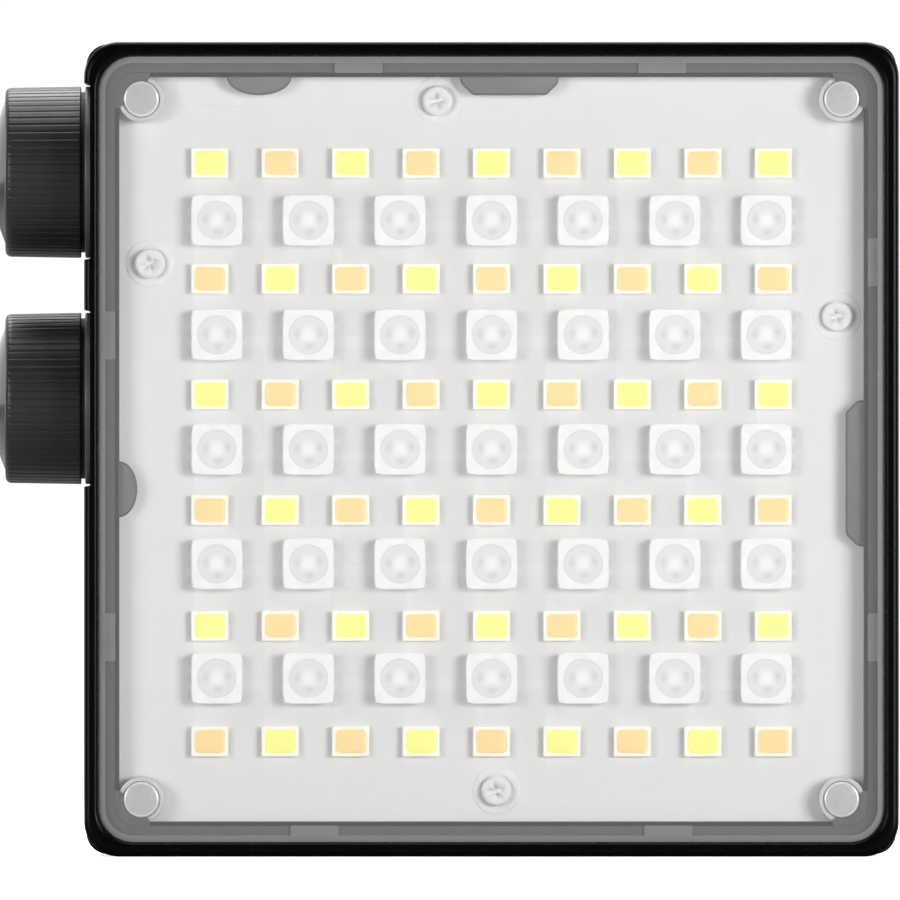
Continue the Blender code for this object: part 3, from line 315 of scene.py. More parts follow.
class Grove(Wiring):
    """A Geometry Nodes tree with named inputs, run once on a piece."""

    def __init__(self, name, **inputs):
        super().__init__(bpy.data.node_groups.new(name, "GeometryNodeTree"))
        sockets = self.tree.interface
        for side in ("INPUT", "OUTPUT"):
            sockets.new_socket("Geometry", in_out=side, socket_type="NodeSocketGeometry")
        self.identifiers = {}
        for label, kind in (inputs | {"finish": "Material"}).items():
            made = sockets.new_socket(label, in_out="INPUT", socket_type="NodeSocket" + kind)
            self.identifiers[label] = made.identifier
        self.start = self.tree.nodes.new("NodeGroupInput")

    def __getitem__(self, label):
        return Value(self, self.start.outputs[label])

    def copies(self, points, turn, **inputs):
        """One shape set on points, each copy turned about Y."""
        shape = self.add("GeometryNodeObjectInfo", {"Object": self["shape"]}, output="Geometry")
        turned_by = self.add("CombineXYZ", {"Y": turn})
        inputs |= {"Points": points, "Instance": shape, "Rotation": turned_by}
        return self.add("GeometryNodeInstanceOnPoints", inputs)

    def chance(self, low, high):
        """A number between two others, one for each point."""
        inputs = {2: low, 3: high, "Seed": self["seed"]}
        return self.add("FunctionNodeRandomValue", inputs, output=1, data_type="FLOAT")

    def close(self, geometry):
        """Makes the copies real and gives the result its finish."""
        real = self.add("GeometryNodeRealizeInstances", {0: geometry})
        done = self.add("GeometryNodeSetMaterial", {0: real, "Material": self["finish"]})
        self.add("NodeGroupOutput", {0: done})
        return self

    def run(self, piece, look, **values):
        modifier = piece.modifiers.new("grove", "NODES")
        modifier.node_group = self.tree
        for label, value in (values | {"finish": finish(look)}).items():
            modifier[self.identifiers[label]] = value
        return flattened(piece)


# ---------------------------------------------------------------- finishes


def moulded(name, colour, roughness, grain=5200.0, depth=0.000006, **sockets):
    """Moulded plastic with the fine spark-eroded grain of its tool."""
    recipe = Recipe(name)
    rough = recipe.between(recipe.noise(900.0, 2.0), roughness - 0.05, roughness + 0.05)
    sockets["Normal"] = recipe.bump(recipe.noise(grain, 2.0, 0.6), depth)
    return recipe.finish(recipe.principled(recipe.varied(colour, 0.12, 700.0), rough, **sockets))


def metal(name, colour, roughness, grain=3000.0, stretch=(1.0, 1.0, 1.0), share=1.0):
    """Plain or plated metal with fine tool marks, drawn out along one axis."""
    recipe = Recipe(name)
    mapped = recipe.add("Mapping", {"Vector": recipe.place(), "Scale": stretch})
    marks = recipe.add("TexNoise", {"Vector": mapped, "Scale": grain, "Detail": 4.0})
    tone = recipe.blend(marks, [c * 0.86 for c in colour], [min(c * 1.1, 1.0) for c in colour])
    rough = recipe.between(marks, roughness - 0.08, roughness + 0.1)
    normal = recipe.bump(marks, 0.000003)
    return recipe.finish(recipe.principled(tone, rough, Metallic=share, Normal=normal))


def clear_sheet(name, haze, tint, roughness, gloss):
    """Clear moulded plastic: what is behind shows through, under a faint haze and a sharp gloss."""
    recipe = Recipe(name)
    slant = recipe.add("LayerWeight", {"Blend": 0.5}, output="Facing")
    mirror = slant**5.0 * 0.96 + 0.04
    film = recipe.between(recipe.noise(260.0, 2.0), 0.96, 1.04)
    share = (mirror * gloss + film * haze).at_most(1.0)
    plastic = recipe.principled(tint, roughness, Specular_IOR_Level=0.5)
    clear = recipe.add("BsdfTransparent", {"Color": (1.0, 1.0, 1.0)})
    return recipe.finish(recipe.add("MixShader", {0: share, 1: clear, 2: plastic}))


def board_white(name):
    """White solder mask, with the faint relief of the copper tracks under it, and painted light towards its
    edges.
    """
    recipe = Recipe(name)
    across = recipe.axis("X")
    up = recipe.axis("Z")
    speck = recipe.noise(4200.0, 3.0)
    tracks = abs((across / WHITE_PITCH[0]).fraction() - 0.5) < 0.06
    lanes = abs((up / RGB_PITCH[1]).fraction() - 0.5) < 0.05
    raised = tracks.at_least(lanes)
    tone = recipe.blend(recipe.noise(120.0, 2.0), (0.715, 0.713, 0.717), (0.775, 0.772, 0.778))
    # Painted light: the board turns lighter towards its edges, to lift the shade that the frame's walls
    # cast on it.
    aside = abs(across - CENTRE_X).at_least(abs(up - CENTRE_Z))
    painted_edge_light = ((aside - BOARD_LIGHTENED_FROM) * 100.0).at_least(0.0).at_most(1.0)
    tone = recipe.blend(painted_edge_light, tone, (0.86, 0.86, 0.863))
    tone = recipe.blend(raised * 0.2, tone, (0.86, 0.855, 0.865))
    normal = recipe.bump(raised * 3.0 + speck, 0.0000025)
    return recipe.finish(recipe.principled(tone, recipe.between(speck, 0.42, 0.55), Normal=normal))


def phosphor(name, middle_colour, edge_colour):
    """Silicone filled with phosphor powder: a matt speckled body under a soft gloss, with a faint painted
    glow.
    """
    recipe = Recipe(name)
    powder = recipe.noise(15000.0, 2.0, 0.7)
    share = recipe.between(powder, 0.1, 0.5) + recipe.noise(700.0, 1.0) * 0.2
    tone = recipe.blend(share, middle_colour, edge_colour)
    # Painted glow: a little emission in the phosphor's own colour, though the LEDs are not lit.
    glow = {"Emission_Color": tone, "Emission_Strength": 0.12}
    return recipe.finish(recipe.principled(tone, 0.35, Normal=recipe.bump(powder, 0.000003), **glow))


def rgb_silicone(name):
    """Milky silicone over three chips: a painted highlight in the middle, painted shade in a ring by the
    cup's wall, and a faint shade over each chip.
    """
    recipe = Recipe(name)
    cells = []
    for letter, centre, pitch in (("X", CENTRE_X, RGB_PITCH[0]), ("Z", CENTRE_Z, RGB_PITCH[1])):
        steps = (recipe.axis(letter) - centre) / pitch + 0.5
        cells.append((steps.fraction() - 0.5) * pitch)
    across, up = cells

    def spot(x, z, size):
        """1 in the middle of a round spot, and 0 from its edge outwards."""
        side = across - x
        rise = up - z
        away = (side * side + rise * rise).math("SQRT")
        return (1.0 - away / size).at_least(0.0)

    shade = spot(-0.0009, 0.0001, 0.0007) + spot(0.001, 0.0002, 0.0007) + spot(0.0001, -0.001, 0.0007)
    # Painted shade in a ring by the cup's wall, and a painted highlight in the middle.
    rim = 1.0 - (spot(0.0, 0.0, RGB_CAVITY) * 6.0).at_most(1.0)
    glow = (spot(0.0, 0.0, 0.0012) * 1.4).at_most(1.0)
    tone = recipe.blend(shade, (0.85, 0.85, 0.857), (0.66, 0.665, 0.68))
    tone = recipe.blend(rim * 0.35, tone, (0.72, 0.72, 0.725))
    tone = recipe.blend(glow, tone, (1.0, 0.995, 0.99))
    return recipe.finish(recipe.principled(tone, 0.22))


def cap_satin(name):
    """The dial's cap: black glass-like plastic with a spun finish under its gloss."""
    recipe = Recipe(name)
    rough = recipe.between(recipe.noise(2600.0, 3.0), 0.12, 0.2)
    tone = recipe.varied((0.026, 0.026, 0.0275), 0.1, 500.0)
    return recipe.finish(recipe.principled(tone, rough, Coat_Weight=0.35))


def led_case(name, colour):
    """White moulded plastic with a faint painted glow, though the LEDs are not lit."""
    # Painted glow: a little emission in the case's own colour.
    glow = {"Emission_Color": (*colour, 1.0), "Emission_Strength": 0.16}
    return moulded(name, colour, 0.4, 9000.0, 0.000002, **glow)


def green_mask(name):
    """Green solder mask over a pattern of copper tracks."""
    recipe = Recipe(name)
    cells = {"Vector": recipe.place(), "Scale": 420.0}
    tracks = recipe.add("TexVoronoi", cells, feature="DISTANCE_TO_EDGE") < 0.045
    tone = recipe.blend(tracks, (0.01, 0.09, 0.035), (0.03, 0.2, 0.08))
    return recipe.finish(recipe.principled(tone, 0.35, Normal=recipe.bump(tracks, 0.00002)))


def display_face(name):
    """A dark display behind its glass, with plain bars for level and hue."""
    recipe = Recipe(name)
    across = (recipe.axis("X") - CENTRE_X) / span("display_module").x
    up = (recipe.axis("Z") - middle("display_module").z) / span("display_module").z
    inside = abs(across) < 0.4
    rows = inside * (abs(up + 0.18) < 0.06) + inside * (abs(up - 0.16) < 0.12)
    bars = ((across * 20.0).fraction() > 0.3) * rows
    tone = recipe.blend(bars, (0.006, 0.007, 0.009), (0.1, 0.12, 0.135))
    return recipe.finish(recipe.principled(tone, 0.15, Coat_Weight=1.0))


def wrap_blue(name):
    """The battery's shrink wrap, with soft creases."""
    recipe = Recipe(name)
    normal = recipe.bump(recipe.noise(240.0, 4.0), 0.00008)
    tone = recipe.varied((0.02, 0.07, 0.24), 0.15, 200.0)
    return recipe.finish(recipe.principled(tone, 0.32, Normal=normal))


def ribbon_amber(name):
    """Polyimide film over parallel copper lines."""
    recipe = Recipe(name)
    lines = (recipe.axis("X") * 1000.0).fraction() > 0.5
    tone = recipe.blend(lines, (0.36, 0.15, 0.02), (0.6, 0.28, 0.06))
    return recipe.finish(recipe.principled(tone, 0.3, Normal=recipe.bump(lines, 0.00001)))


def pale_floor(name):
    """A white floor that lifts its own brightness when seen, and lights the piece only a little."""
    recipe = Recipe(name)
    tone = recipe.varied((0.86, 0.86, 0.86), 0.01, 8.0)
    glow = {"Emission_Color": (1.0, 1.0, 1.0), "Emission_Strength": 0.72}
    bright = recipe.principled(tone, 0.7, **glow)
    plain = recipe.principled((0.3, 0.3, 0.3), 0.8)
    seen = recipe.add("LightPath", output="Is Camera Ray")
    return recipe.finish(recipe.add("MixShader", {0: seen, 1: plain, 2: bright}))


# Each finish: what makes it, and its colour, roughness and other sizes
FINISHES = {
    "black_shell": (moulded, (0.0009, 0.0009, 0.001), 0.26, {"Specular_IOR_Level": 0.1}),
    "rear_black": (moulded, (0.011, 0.011, 0.0115), 0.5, 3600.0, 0.000014),
    "frame_grey": (moulded, (0.09, 0.09, 0.092), 0.6, 3800.0),
    # Near black: painted shade for the step at the frame's inner edge
    "frame_dark": (moulded, (0.01, 0.01, 0.011), 0.7, 3800.0),
    "lug_grey": (moulded, (0.168, 0.168, 0.17), 0.55, 3800.0),
    "sleeve_pale": (moulded, (0.62, 0.62, 0.625), 0.3, 3500.0),
    "knob_black": (moulded, (0.016, 0.016, 0.0165), 0.38, 7000.0, 0.000004),
    "button_black": (moulded, (0.022, 0.022, 0.023), 0.6, 6500.0, 0.000008),
    "mark_white": (moulded, (0.6, 0.6, 0.6), 0.5, 6000.0),
    "inner_black": (moulded, (0.015, 0.015, 0.016), 0.6),
    "border_black": (moulded, (0.004, 0.004, 0.0045), 0.3),
    "tab_clear": (moulded, (0.2, 0.2, 0.202), 0.3, 3000.0),
    "painted_screw": (moulded, (0.84, 0.84, 0.845), 0.45, 3000.0),
    "pad_grey": (moulded, (0.33, 0.34, 0.37), 0.8, 2500.0, 0.00002),
    "connector_cream": (moulded, (0.72, 0.68, 0.56), 0.45),
    "plunger_cream": (moulded, (0.7, 0.66, 0.55), 0.45),
    "lead_red": (moulded, (0.5, 0.015, 0.015), 0.4, 2500.0),
    "lead_black": (moulded, (0.012, 0.012, 0.012), 0.4, 2500.0),
    "magnet_nickel": (metal, (0.62, 0.62, 0.618), 0.34, 1800.0, {"share": 0.3}),
    # A lighter, glossier copy of the plating: a painted highlight for the magnets' rims
    "magnet_edge": (metal, (0.9, 0.9, 0.895), 0.2, 1800.0, {"share": 0.2}),
    "led_leads": (metal, (0.74, 0.74, 0.745), 0.35, {"share": 0.25}),
    "seat_metal": (metal, (0.13, 0.13, 0.132), 0.4, {"share": 0.3}),
    "black_screw": (metal, (0.05, 0.05, 0.052), 0.34),
    "port_steel": (metal, (0.62, 0.62, 0.61), 0.28, 2500.0, (0.1, 1.0, 1.0)),
    "contact_gold": (metal, (0.85, 0.6, 0.22), 0.25), "insert_brass": (metal, (0.78, 0.56, 0.24), 0.26),
    "bright_steel": (metal, (0.6, 0.6, 0.59), 0.26), "nut_nickel": (metal, (0.62, 0.61, 0.58), 0.28),
    "plate_aluminium": (metal, (0.7, 0.71, 0.72), 0.36, 1400.0, (1.0, 1.0, 0.05)),
    "cover_clear": (clear_sheet, 0.028, (0.93, 0.93, 0.935), 0.06, 0.6),
    "cover_bevel": (clear_sheet, 0.37, (0.62, 0.62, 0.625), 0.25, 1.0),
    "pane_clear": (clear_sheet, 0.04, (0.02, 0.02, 0.025), 0.04, 1.0),
    "cool_case": (led_case, (0.95, 0.955, 0.78)), "warm_case": (led_case, (0.96, 0.9, 0.79)),
    "rgb_case": (led_case, (0.84, 0.835, 0.832)),
    "cool_phosphor": (phosphor, (0.97, 0.97, 0.2), (0.97, 0.97, 0.36)),
    "warm_phosphor": (phosphor, (0.97, 0.70, 0.28), (0.97, 0.76, 0.38)), "board_white": (board_white,),
    "rgb_silicone": (rgb_silicone,), "cap_satin": (cap_satin,), "green_mask": (green_mask,),
    "display_face": (display_face,), "wrap_blue": (wrap_blue,), "ribbon_amber": (ribbon_amber,),
    "pale_floor": (pale_floor,)
}


MADE = {}


def finish(name):
    """A finish from the table, made when it is first asked for."""
    if name not in MADE:
        maker, *sizes = FINISHES[name]
        named = sizes.pop() if sizes and isinstance(sizes[-1], dict) else {}
        MADE[name] = maker(name, *sizes, **named)
    return MADE[name]


# ---------------------------------------------------------------- shapes


def filleted(corners, steps=EDGE_STEPS, closed=False):
    """A path through (across, up, radius) corners, each rounded by an arc of its radius."""
    path = []
    count = len(corners)
    for i, (u, v, radius) in enumerate(corners):
        if radius == 0 or (not closed and i in (0, count - 1)):
            path.append((u, v))
            continue
        here = Vector((u, v))
        back = Vector(corners[i - 1][:2]) - here
        ahead = Vector(corners[(i + 1) % count][:2]) - here
        half = back.angle(ahead) / 2
        reach = min(radius / math.tan(half), back.length * 0.49, ahead.length * 0.49)
        round_off = reach * math.tan(half)
        centre = here + (back.normalized() + ahead.normalized()).normalized() * round_off / math.sin(half)
        start = here + back.normalized() * reach - centre
        end = here + ahead.normalized() * reach - centre
        first = math.atan2(start.y, start.x)
        turn = (math.atan2(end.y, end.x) - first + math.pi) % math.tau - math.pi
        for k in range(steps + 1):
            angle = first + turn * k / steps
            path.append((centre.x + round_off * math.cos(angle), centre.y + round_off * math.sin(angle)))
    return path


def rounded_square(inset, corner):
    """The body's outline at one inset, round its centre."""
    points = []
    for i, (side_x, side_z) in enumerate(((1, 1), (-1, 1), (-1, -1), (1, -1))):
        x = CENTRE_X + side_x * (WIDTH / 2 - inset - corner)
        z = CENTRE_Z + side_z * (HEIGHT / 2 - inset - corner)
        for k in range(CORNER_STEPS + 1):
            angle = math.radians(90 * i + 90 * k / CORNER_STEPS)
            points.append((x + corner * math.cos(angle), z + corner * math.sin(angle)))
    return points


def rectangle(x, z, width, height, corner=0.0, steps=4):
    sides = ((-1, -1), (1, -1), (1, 1), (-1, 1))
    corners = [(x + a * width / 2, z + b * height / 2, corner) for a, b in sides]
    return filleted(corners, steps, closed=True)


def circle(x, z, radius, steps):
    angles = [math.tau * i / steps for i in range(steps)]
    return [(x + radius * math.cos(angle), z + radius * math.sin(angle)) for angle in angles]


def placed(name, mesh):
    made = bpy.data.objects.new(name, mesh)
    bpy.context.scene.collection.objects.link(made)
    return made


def new_piece(name, maker, *looks, smooth=35):
    """An object with its place in its mesh, its faces turned outwards."""
    bmesh.ops.remove_doubles(maker, verts=maker.verts, dist=1e-7)
    bmesh.ops.recalc_face_normals(maker, faces=maker.faces)
    mesh = bpy.data.meshes.new(name)
    maker.to_mesh(mesh)
    maker.free()
    mesh.shade_smooth()
    mesh.set_sharp_from_angle(angle=math.radians(smooth))
    for look in looks:
        mesh.materials.append(finish(look))
    return placed(name, mesh)


def add_loft(maker, rings, along="Y", loop=False):
    """Skins (outline, depth) rings that have the same number of points, with flat ends."""
    rows = []
    for outline, depth in rings:
        points = {
            "X": [(depth, u, v) for u, v in outline], "Y": [(u, depth, v) for u, v in outline],
            "Z": [(u, v, depth) for u, v in outline]
        }
        rows.append([maker.verts.new(point) for point in points[along]])
    pairs = list(zip(rows, rows[1:]))
    if loop:
        pairs.append((rows[-1], rows[0]))
    for near, far in pairs:
        for i in range(len(near)):
            j = (i + 1) % len(near)
            maker.faces.new((near[i], near[j], far[j], far[i]))
    if not loop:
        maker.faces.new(rows[0])
        maker.faces.new(rows[-1])


def loft(rings, along="Y", loop=False):
    maker = bmesh.new()
    add_loft(maker, rings, along, loop)
    return maker


def prism(outline, start, end, along="Y"):
    return loft([(outline, start), (outline, end)], along)


def put_round(axis, centre, distance, radius, angle):
    across = radius * math.cos(angle)
    up = radius * math.sin(angle)
    offsets = {"X": (distance, across, up), "Y": (across, distance, up), "Z": (across, up, distance)}
    return Vector(centre) + Vector(offsets[axis])


def add_turned(maker, profile, axis, centre, steps=64, ring=False):
    """Spins (distance along the axis, radius) points about an axis through the centre."""
    rows = []
    for distance, radius in profile:
        count = 1 if radius < 1e-9 and not ring else steps
        angles = [math.tau * i / steps for i in range(count)]
        rows.append([maker.verts.new(put_round(axis, centre, distance, radius, a)) for a in angles])
    pairs = list(zip(rows, rows[1:]))
    if ring:
        pairs.append((rows[-1], rows[0]))
    for near, far in pairs:
        for i in range(steps):
            j = (i + 1) % steps
            corners = [near[i % len(near)], near[j % len(near)], far[j % len(far)], far[i % len(far)]]
            unique = list(dict.fromkeys(corners))
            if len(unique) > 2:
                maker.faces.new(unique)


def turned(profile, axis, centre, steps=64, ring=False):
    maker = bmesh.new()
    add_turned(maker, profile, axis, centre, steps, ring)
    return maker


def drill(axis, centre, steps, *bores):
    """A round cutter along an axis, from the (start, end, radius) of each of its lengths."""
    profile = [(bores[0][0], 0.0)]
    for start, end, radius in bores:
        profile += [(start, radius), (end, radius)]
    profile.append((bores[-1][1], 0.0))
    return "DIFFERENCE", turned(profile, axis, centre, steps)


def depth_range(face):
    depths = [vert.co.y for vert in face.verts]
    return min(depths), max(depths)


def flattened(target):
    """Turns a piece and its modifiers into a plain mesh, and removes the modifiers."""
    depsgraph = bpy.context.evaluated_depsgraph_get()
    depsgraph.update()
    mesh = bpy.data.meshes.new_from_object(target.evaluated_get(depsgraph), depsgraph=depsgraph)
    target.modifiers.clear()
    target.data = mesh
    return target


def weighted(target):
    """Evens out the normals round a piece's edges, and flattens it."""
    target.modifiers.new("normals", "WEIGHTED_NORMAL").keep_sharp = True
    return flattened(target)


def shaped(target, operations, edge=0.0):
    """Cuts and joins closed shapes, softens the new edges, and leaves one plain mesh."""
    helpers = []
    for operation, maker in operations:
        helper = new_piece("helper", maker)
        for material in target.data.materials:
            helper.data.materials.append(material)
        modifier = target.modifiers.new("shape", "BOOLEAN")
        modifier.operation = operation
        modifier.solver = "EXACT"
        modifier.object = helper
        helpers.append(helper)
    if edge:
        bevel = target.modifiers.new("edge", "BEVEL")
        bevel.width = edge
        bevel.segments = 2
        bevel.limit_method = "ANGLE"
        bevel.angle_limit = math.radians(50)
        bevel.harden_normals = False
    weighted(target)
    for helper in helpers:
        bpy.data.objects.remove(helper)
    return target


def joined(name, pieces):
    """Several plain pieces made one object."""
    maker = bmesh.new()
    materials = []
    for piece in pieces:
        part = bmesh.new()
        part.from_mesh(piece.data)
        slots = []
        for material in piece.data.materials:
            if material not in materials:
                materials.append(material)
            slots.append(materials.index(material))
        for face in part.faces:
            face.material_index = slots[face.material_index]
        mesh = bpy.data.meshes.new("part")
        part.to_mesh(mesh)
        part.free()
        maker.from_mesh(mesh)
        bpy.data.meshes.remove(mesh)
        bpy.data.objects.remove(piece)
    mesh = bpy.data.meshes.new(name)
    maker.to_mesh(mesh)
    maker.free()
    for material in materials:
        mesh.materials.append(material)
    return placed(name, mesh)


def settle(piece, slot, *nodes, body="light"):
    """Hangs a finished piece on its body, in place of CAD nodes. Its slot argument is not used."""
    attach(piece, body)
    if nodes:
        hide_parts(*nodes)


# ---------------------------------------------------------------- geometry trees


def grid_tree():
    """Copies of one shape on a grid, all of them or every other one like a chessboard."""
    tree = Grove(
        "led_grid", columns="Int", rows="Int", pitch_across="Float", pitch_up="Float", centre="Vector",
        squares="Int", unevenness="Float", seed="Int", shape="Object"
    )
    sizes = {
        "Size X": tree["pitch_across"] * (tree["columns"] - 1.0),
        "Size Y": tree["pitch_up"] * (tree["rows"] - 1.0), "Vertices X": tree["columns"],
        "Vertices Y": tree["rows"]
    }
    grid = tree.add("GeometryNodeMeshGrid", sizes)
    place = {"Geometry": grid, "Translation": tree["centre"], "Rotation": (math.radians(90), 0.0, 0.0)}
    upright = tree.add("GeometryNodeTransform", place)
    index = tree.add("GeometryNodeInputIndex")
    parity = (math.floor(index / tree["rows"]) + index % tree["rows"]) % 2.0
    matches = parity.math("COMPARE", tree["squares"] - 1.0)
    chosen = matches.at_least(tree["squares"] < 0.5)
    turn = tree.chance(tree["unevenness"] * -1.0, tree["unevenness"])
    return tree.close(tree.copies(upright, turn, Selection=chosen))


def copies_tree():
    """Copies of one shape on the points of a mesh, each turned about Y by chance."""
    tree = Grove("turned_copies", shape="Object", most_turn="Float", seed="Int")
    return tree.close(tree.copies(tree["Geometry"], tree.chance(0.0, tree["most_turn"])))


def knurl_tree():
    """Sinks straight grooves into a turned side, all round an axis along X."""
    tree = Grove(
        "knurl", centre="Vector", teeth="Float", depth="Float", share="Float", low="Float", high="Float",
        run_out="Float", least_radius="Float"
    )
    position = tree.add("GeometryNodeInputPosition")
    offset = tree.add("VectorMath", {0: position, 1: tree["centre"]}, operation="SUBTRACT")
    along, across, up = [tree.add("SeparateXYZ", {0: offset}, output=letter) for letter in "XYZ"]

    def ramp(value, start, end):
        """0 before the start, 1 after the end, and soft between them."""
        inputs = {"Value": value, "From Min": start, "From Max": end}
        return tree.add("MapRange", inputs, interpolation_type="SMOOTHSTEP")

    turns = up.math("ARCTAN2", across) / math.tau * tree["teeth"]
    from_groove = abs((turns + 0.5).fraction() - 0.5)
    groove = ramp(from_groove, tree["share"] * 0.5, 0.0)
    enter = ramp(along, tree["low"], tree["low"] + tree["run_out"])
    leave = ramp(along, tree["high"], tree["high"] - tree["run_out"])
    flat = tree.add("CombineXYZ", {"Y": across, "Z": up})
    radius = tree.add("VectorMath", {0: flat}, output="Value", operation="LENGTH")
    amount = groove * enter * (leave * (radius > tree["least_radius"]))
    outwards = tree.add("VectorMath", {0: flat}, operation="NORMALIZE")
    sink = {0: outwards, "Scale": amount * tree["depth"] * -1.0}
    move = tree.add("VectorMath", sink, operation="SCALE")
    return tree.close(tree.add("GeometryNodeSetPosition", {"Geometry": tree["Geometry"], "Offset": move}))


def thread_tree():
    """A raised thread that winds up the wall of a bore."""
    tree = Grove("thread", turns="Float", radius="Float", height="Float", size="Float")
    winding = {
        "Resolution": 40, "Rotations": tree["turns"], "Start Radius": tree["radius"],
        "End Radius": tree["radius"], "Height": tree["height"]
    }
    spiral = tree.add("GeometryNodeCurveSpiral", winding)
    section = tree.add("GeometryNodeCurvePrimitiveCircle", {"Resolution": 4, "Radius": tree["size"]})
    ends = {"Curve": spiral, "Profile Curve": section, "Fill Caps": True}
    swept = tree.add("GeometryNodeCurveToMesh", ends)
    return tree.close(tree.add("GeometryNodeSetShadeSmooth", {"Geometry": swept, "Shade Smooth": False}))


# ---------------------------------------------------------------- body


def from_side(side, inset, along, inward):
    """A place along one side of the body, counted inwards from an inset."""
    across = WIDTH / 2 - inset
    up = HEIGHT / 2 - inset
    places = {
        "top": (along, up - inward), "bottom": (along, inward - up), "left": (inward - across, along),
        "right": (across - inward, along)
    }
    x, z = places[side]
    return CENTRE_X + x, CENTRE_Z + z


def corner_places():
    """Where the four magnets and the four rear screws stand."""
    across = WIDTH / 2 - POST_INSET
    up = HEIGHT / 2 - POST_INSET
    return [(CENTRE_X + a * across, CENTRE_Z + b * up) for a in (-1, 1) for b in (-1, 1)]


def pocket_cutters():
    """Flat pockets across the left side, with sloped ends, one behind each dial."""
    cutters = []
    for name in DIALS:
        axis = middle(f"{name}_knob")
        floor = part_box(f"{name}_seat")[1].x + SEAT_GAP
        depth = floor - BODY_LOW.x
        half = span(f"{name}_knob").z / 2 + POCKET_MARGIN
        slope = [
            (BODY_LOW.x - depth, axis.z - half - POCKET_SLOPE), (floor, axis.z - half),
            (floor, axis.z + half), (BODY_LOW.x - depth, axis.z + half + POCKET_SLOPE)
        ]
        cutters.append(("DIFFERENCE", prism(slope, FRONT - depth, BACK + depth)))
    return cutters


def housing_tube():
    """The moulded tube: outside, rounded front rim and inner walls in one closed loop."""
    end = BODY_HIGH.y
    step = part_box("heat_plate")[1].y + 0.0003
    profile = filleted([
        (end, 0.0, SEAM_ROUND), (FRONT, 0.0, EDGE_ROUND), (FRONT, RIM_WALL, RIM_ROUND),
        (step, RIM_WALL, 0.0), (step, SEAT_WALL, 0.0), (end, SEAT_WALL, 0.0)
    ], closed=True)
    rings = []
    for y, inset in profile:
        inner = min(max(inset / RIM_WALL, 0.0), 1.0)
        outer_corner = CORNER - min(inset, RIM_WALL / 2)
        corner = outer_corner + (RIM_CORNER - outer_corner) * inner if y < step else SEAT_CORNER
        rings.append((rounded_square(inset, corner if inset > 0 or y < step else CORNER), y))
    return loft(rings, loop=True)


def housing():
    tube = new_piece("housing_shell", housing_tube(), "black_shell")
    boss = middle("tripod_insert")
    low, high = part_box("tripod_insert")
    flange = (high.x - low.x) / 2 + 0.0002
    reach = 2 * PAST
    under, seat, top = low.z - reach, low.z + 0.0012, low.z + 2 * reach
    sleeve = flange - 0.0007
    cutters = pocket_cutters()
    cutters.append(drill("Z", (boss.x, boss.y, 0.0), 48, (under, seat, flange), (seat, top, sleeve)))
    port_centre = middle("usb_c_shell")
    size = span("usb_c_shell")
    gap = 0.0004
    mouth = rectangle(port_centre.y, port_centre.z, size.y + gap, size.z + gap, size.y / 2, 8)
    cutters.append(("DIFFERENCE", prism(mouth, BODY_HIGH.x - 2 * SEAT_WALL, BODY_HIGH.x + reach, "X")))
    for name in DIALS:
        axis = middle(f"{name}_knob")
        radius = span(f"{name}_bush").z / 2 + 0.0003
        cutters.append(drill("X", (BODY_LOW.x, axis.y, axis.z), 40, (-reach, 2 * reach, radius)))
    settle(shaped(tube, cutters, CUT_EDGE), "black_shell", "housing")


def rear_cover():
    """The back plate: window seat, button holes and counterbored screw holes."""
    edge = [
        (REAR_LOW.y, WIDTH / 4, 0.0), (REAR_LOW.y, 0.0, SEAM_ROUND), (BACK, 0.0, EDGE_ROUND),
        (BACK, WIDTH / 4, 0.0)
    ]
    rings = [(rounded_square(inset, CORNER - inset), y) for y, inset in filleted(edge)[1:-1]]
    plate = new_piece("rear_plate", loft(rings), "rear_black")
    cutters = pocket_cutters()
    inside = REAR_LOW.y - PAST
    outside = BACK + PAST
    window = middle("display_window")
    size = span("display_window")
    seat = rectangle(window.x, window.z, size.x + 0.0003, size.z + 0.0003, WINDOW_SEAT)
    cutters.append(("DIFFERENCE", prism(seat, BACK - WINDOW_SEAT, outside)))
    sight = rectangle(window.x, window.z, size.x - WINDOW_LEDGE, size.z - WINDOW_LEDGE, 0.0006)
    cutters.append(("DIFFERENCE", prism(sight, inside, BACK)))
    for name in ("power_button", "mode_button"):
        axis = middle(name)
        cutters.append(drill("Y", (axis.x, 0.0, axis.z), 48, (inside, outside, KEY_HOLE)))
    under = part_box("rear_screw_1")[1].y - 0.0013
    for x, z in corner_places():
        bores = ((inside, under, SCREW_HOLE), (under, outside, SCREW_SINK))
        cutters.append(drill("Y", (x, 0.0, z), 32, *bores))
    settle(shaped(plate, cutters, CUT_EDGE), "black_shell", "rear_cover")


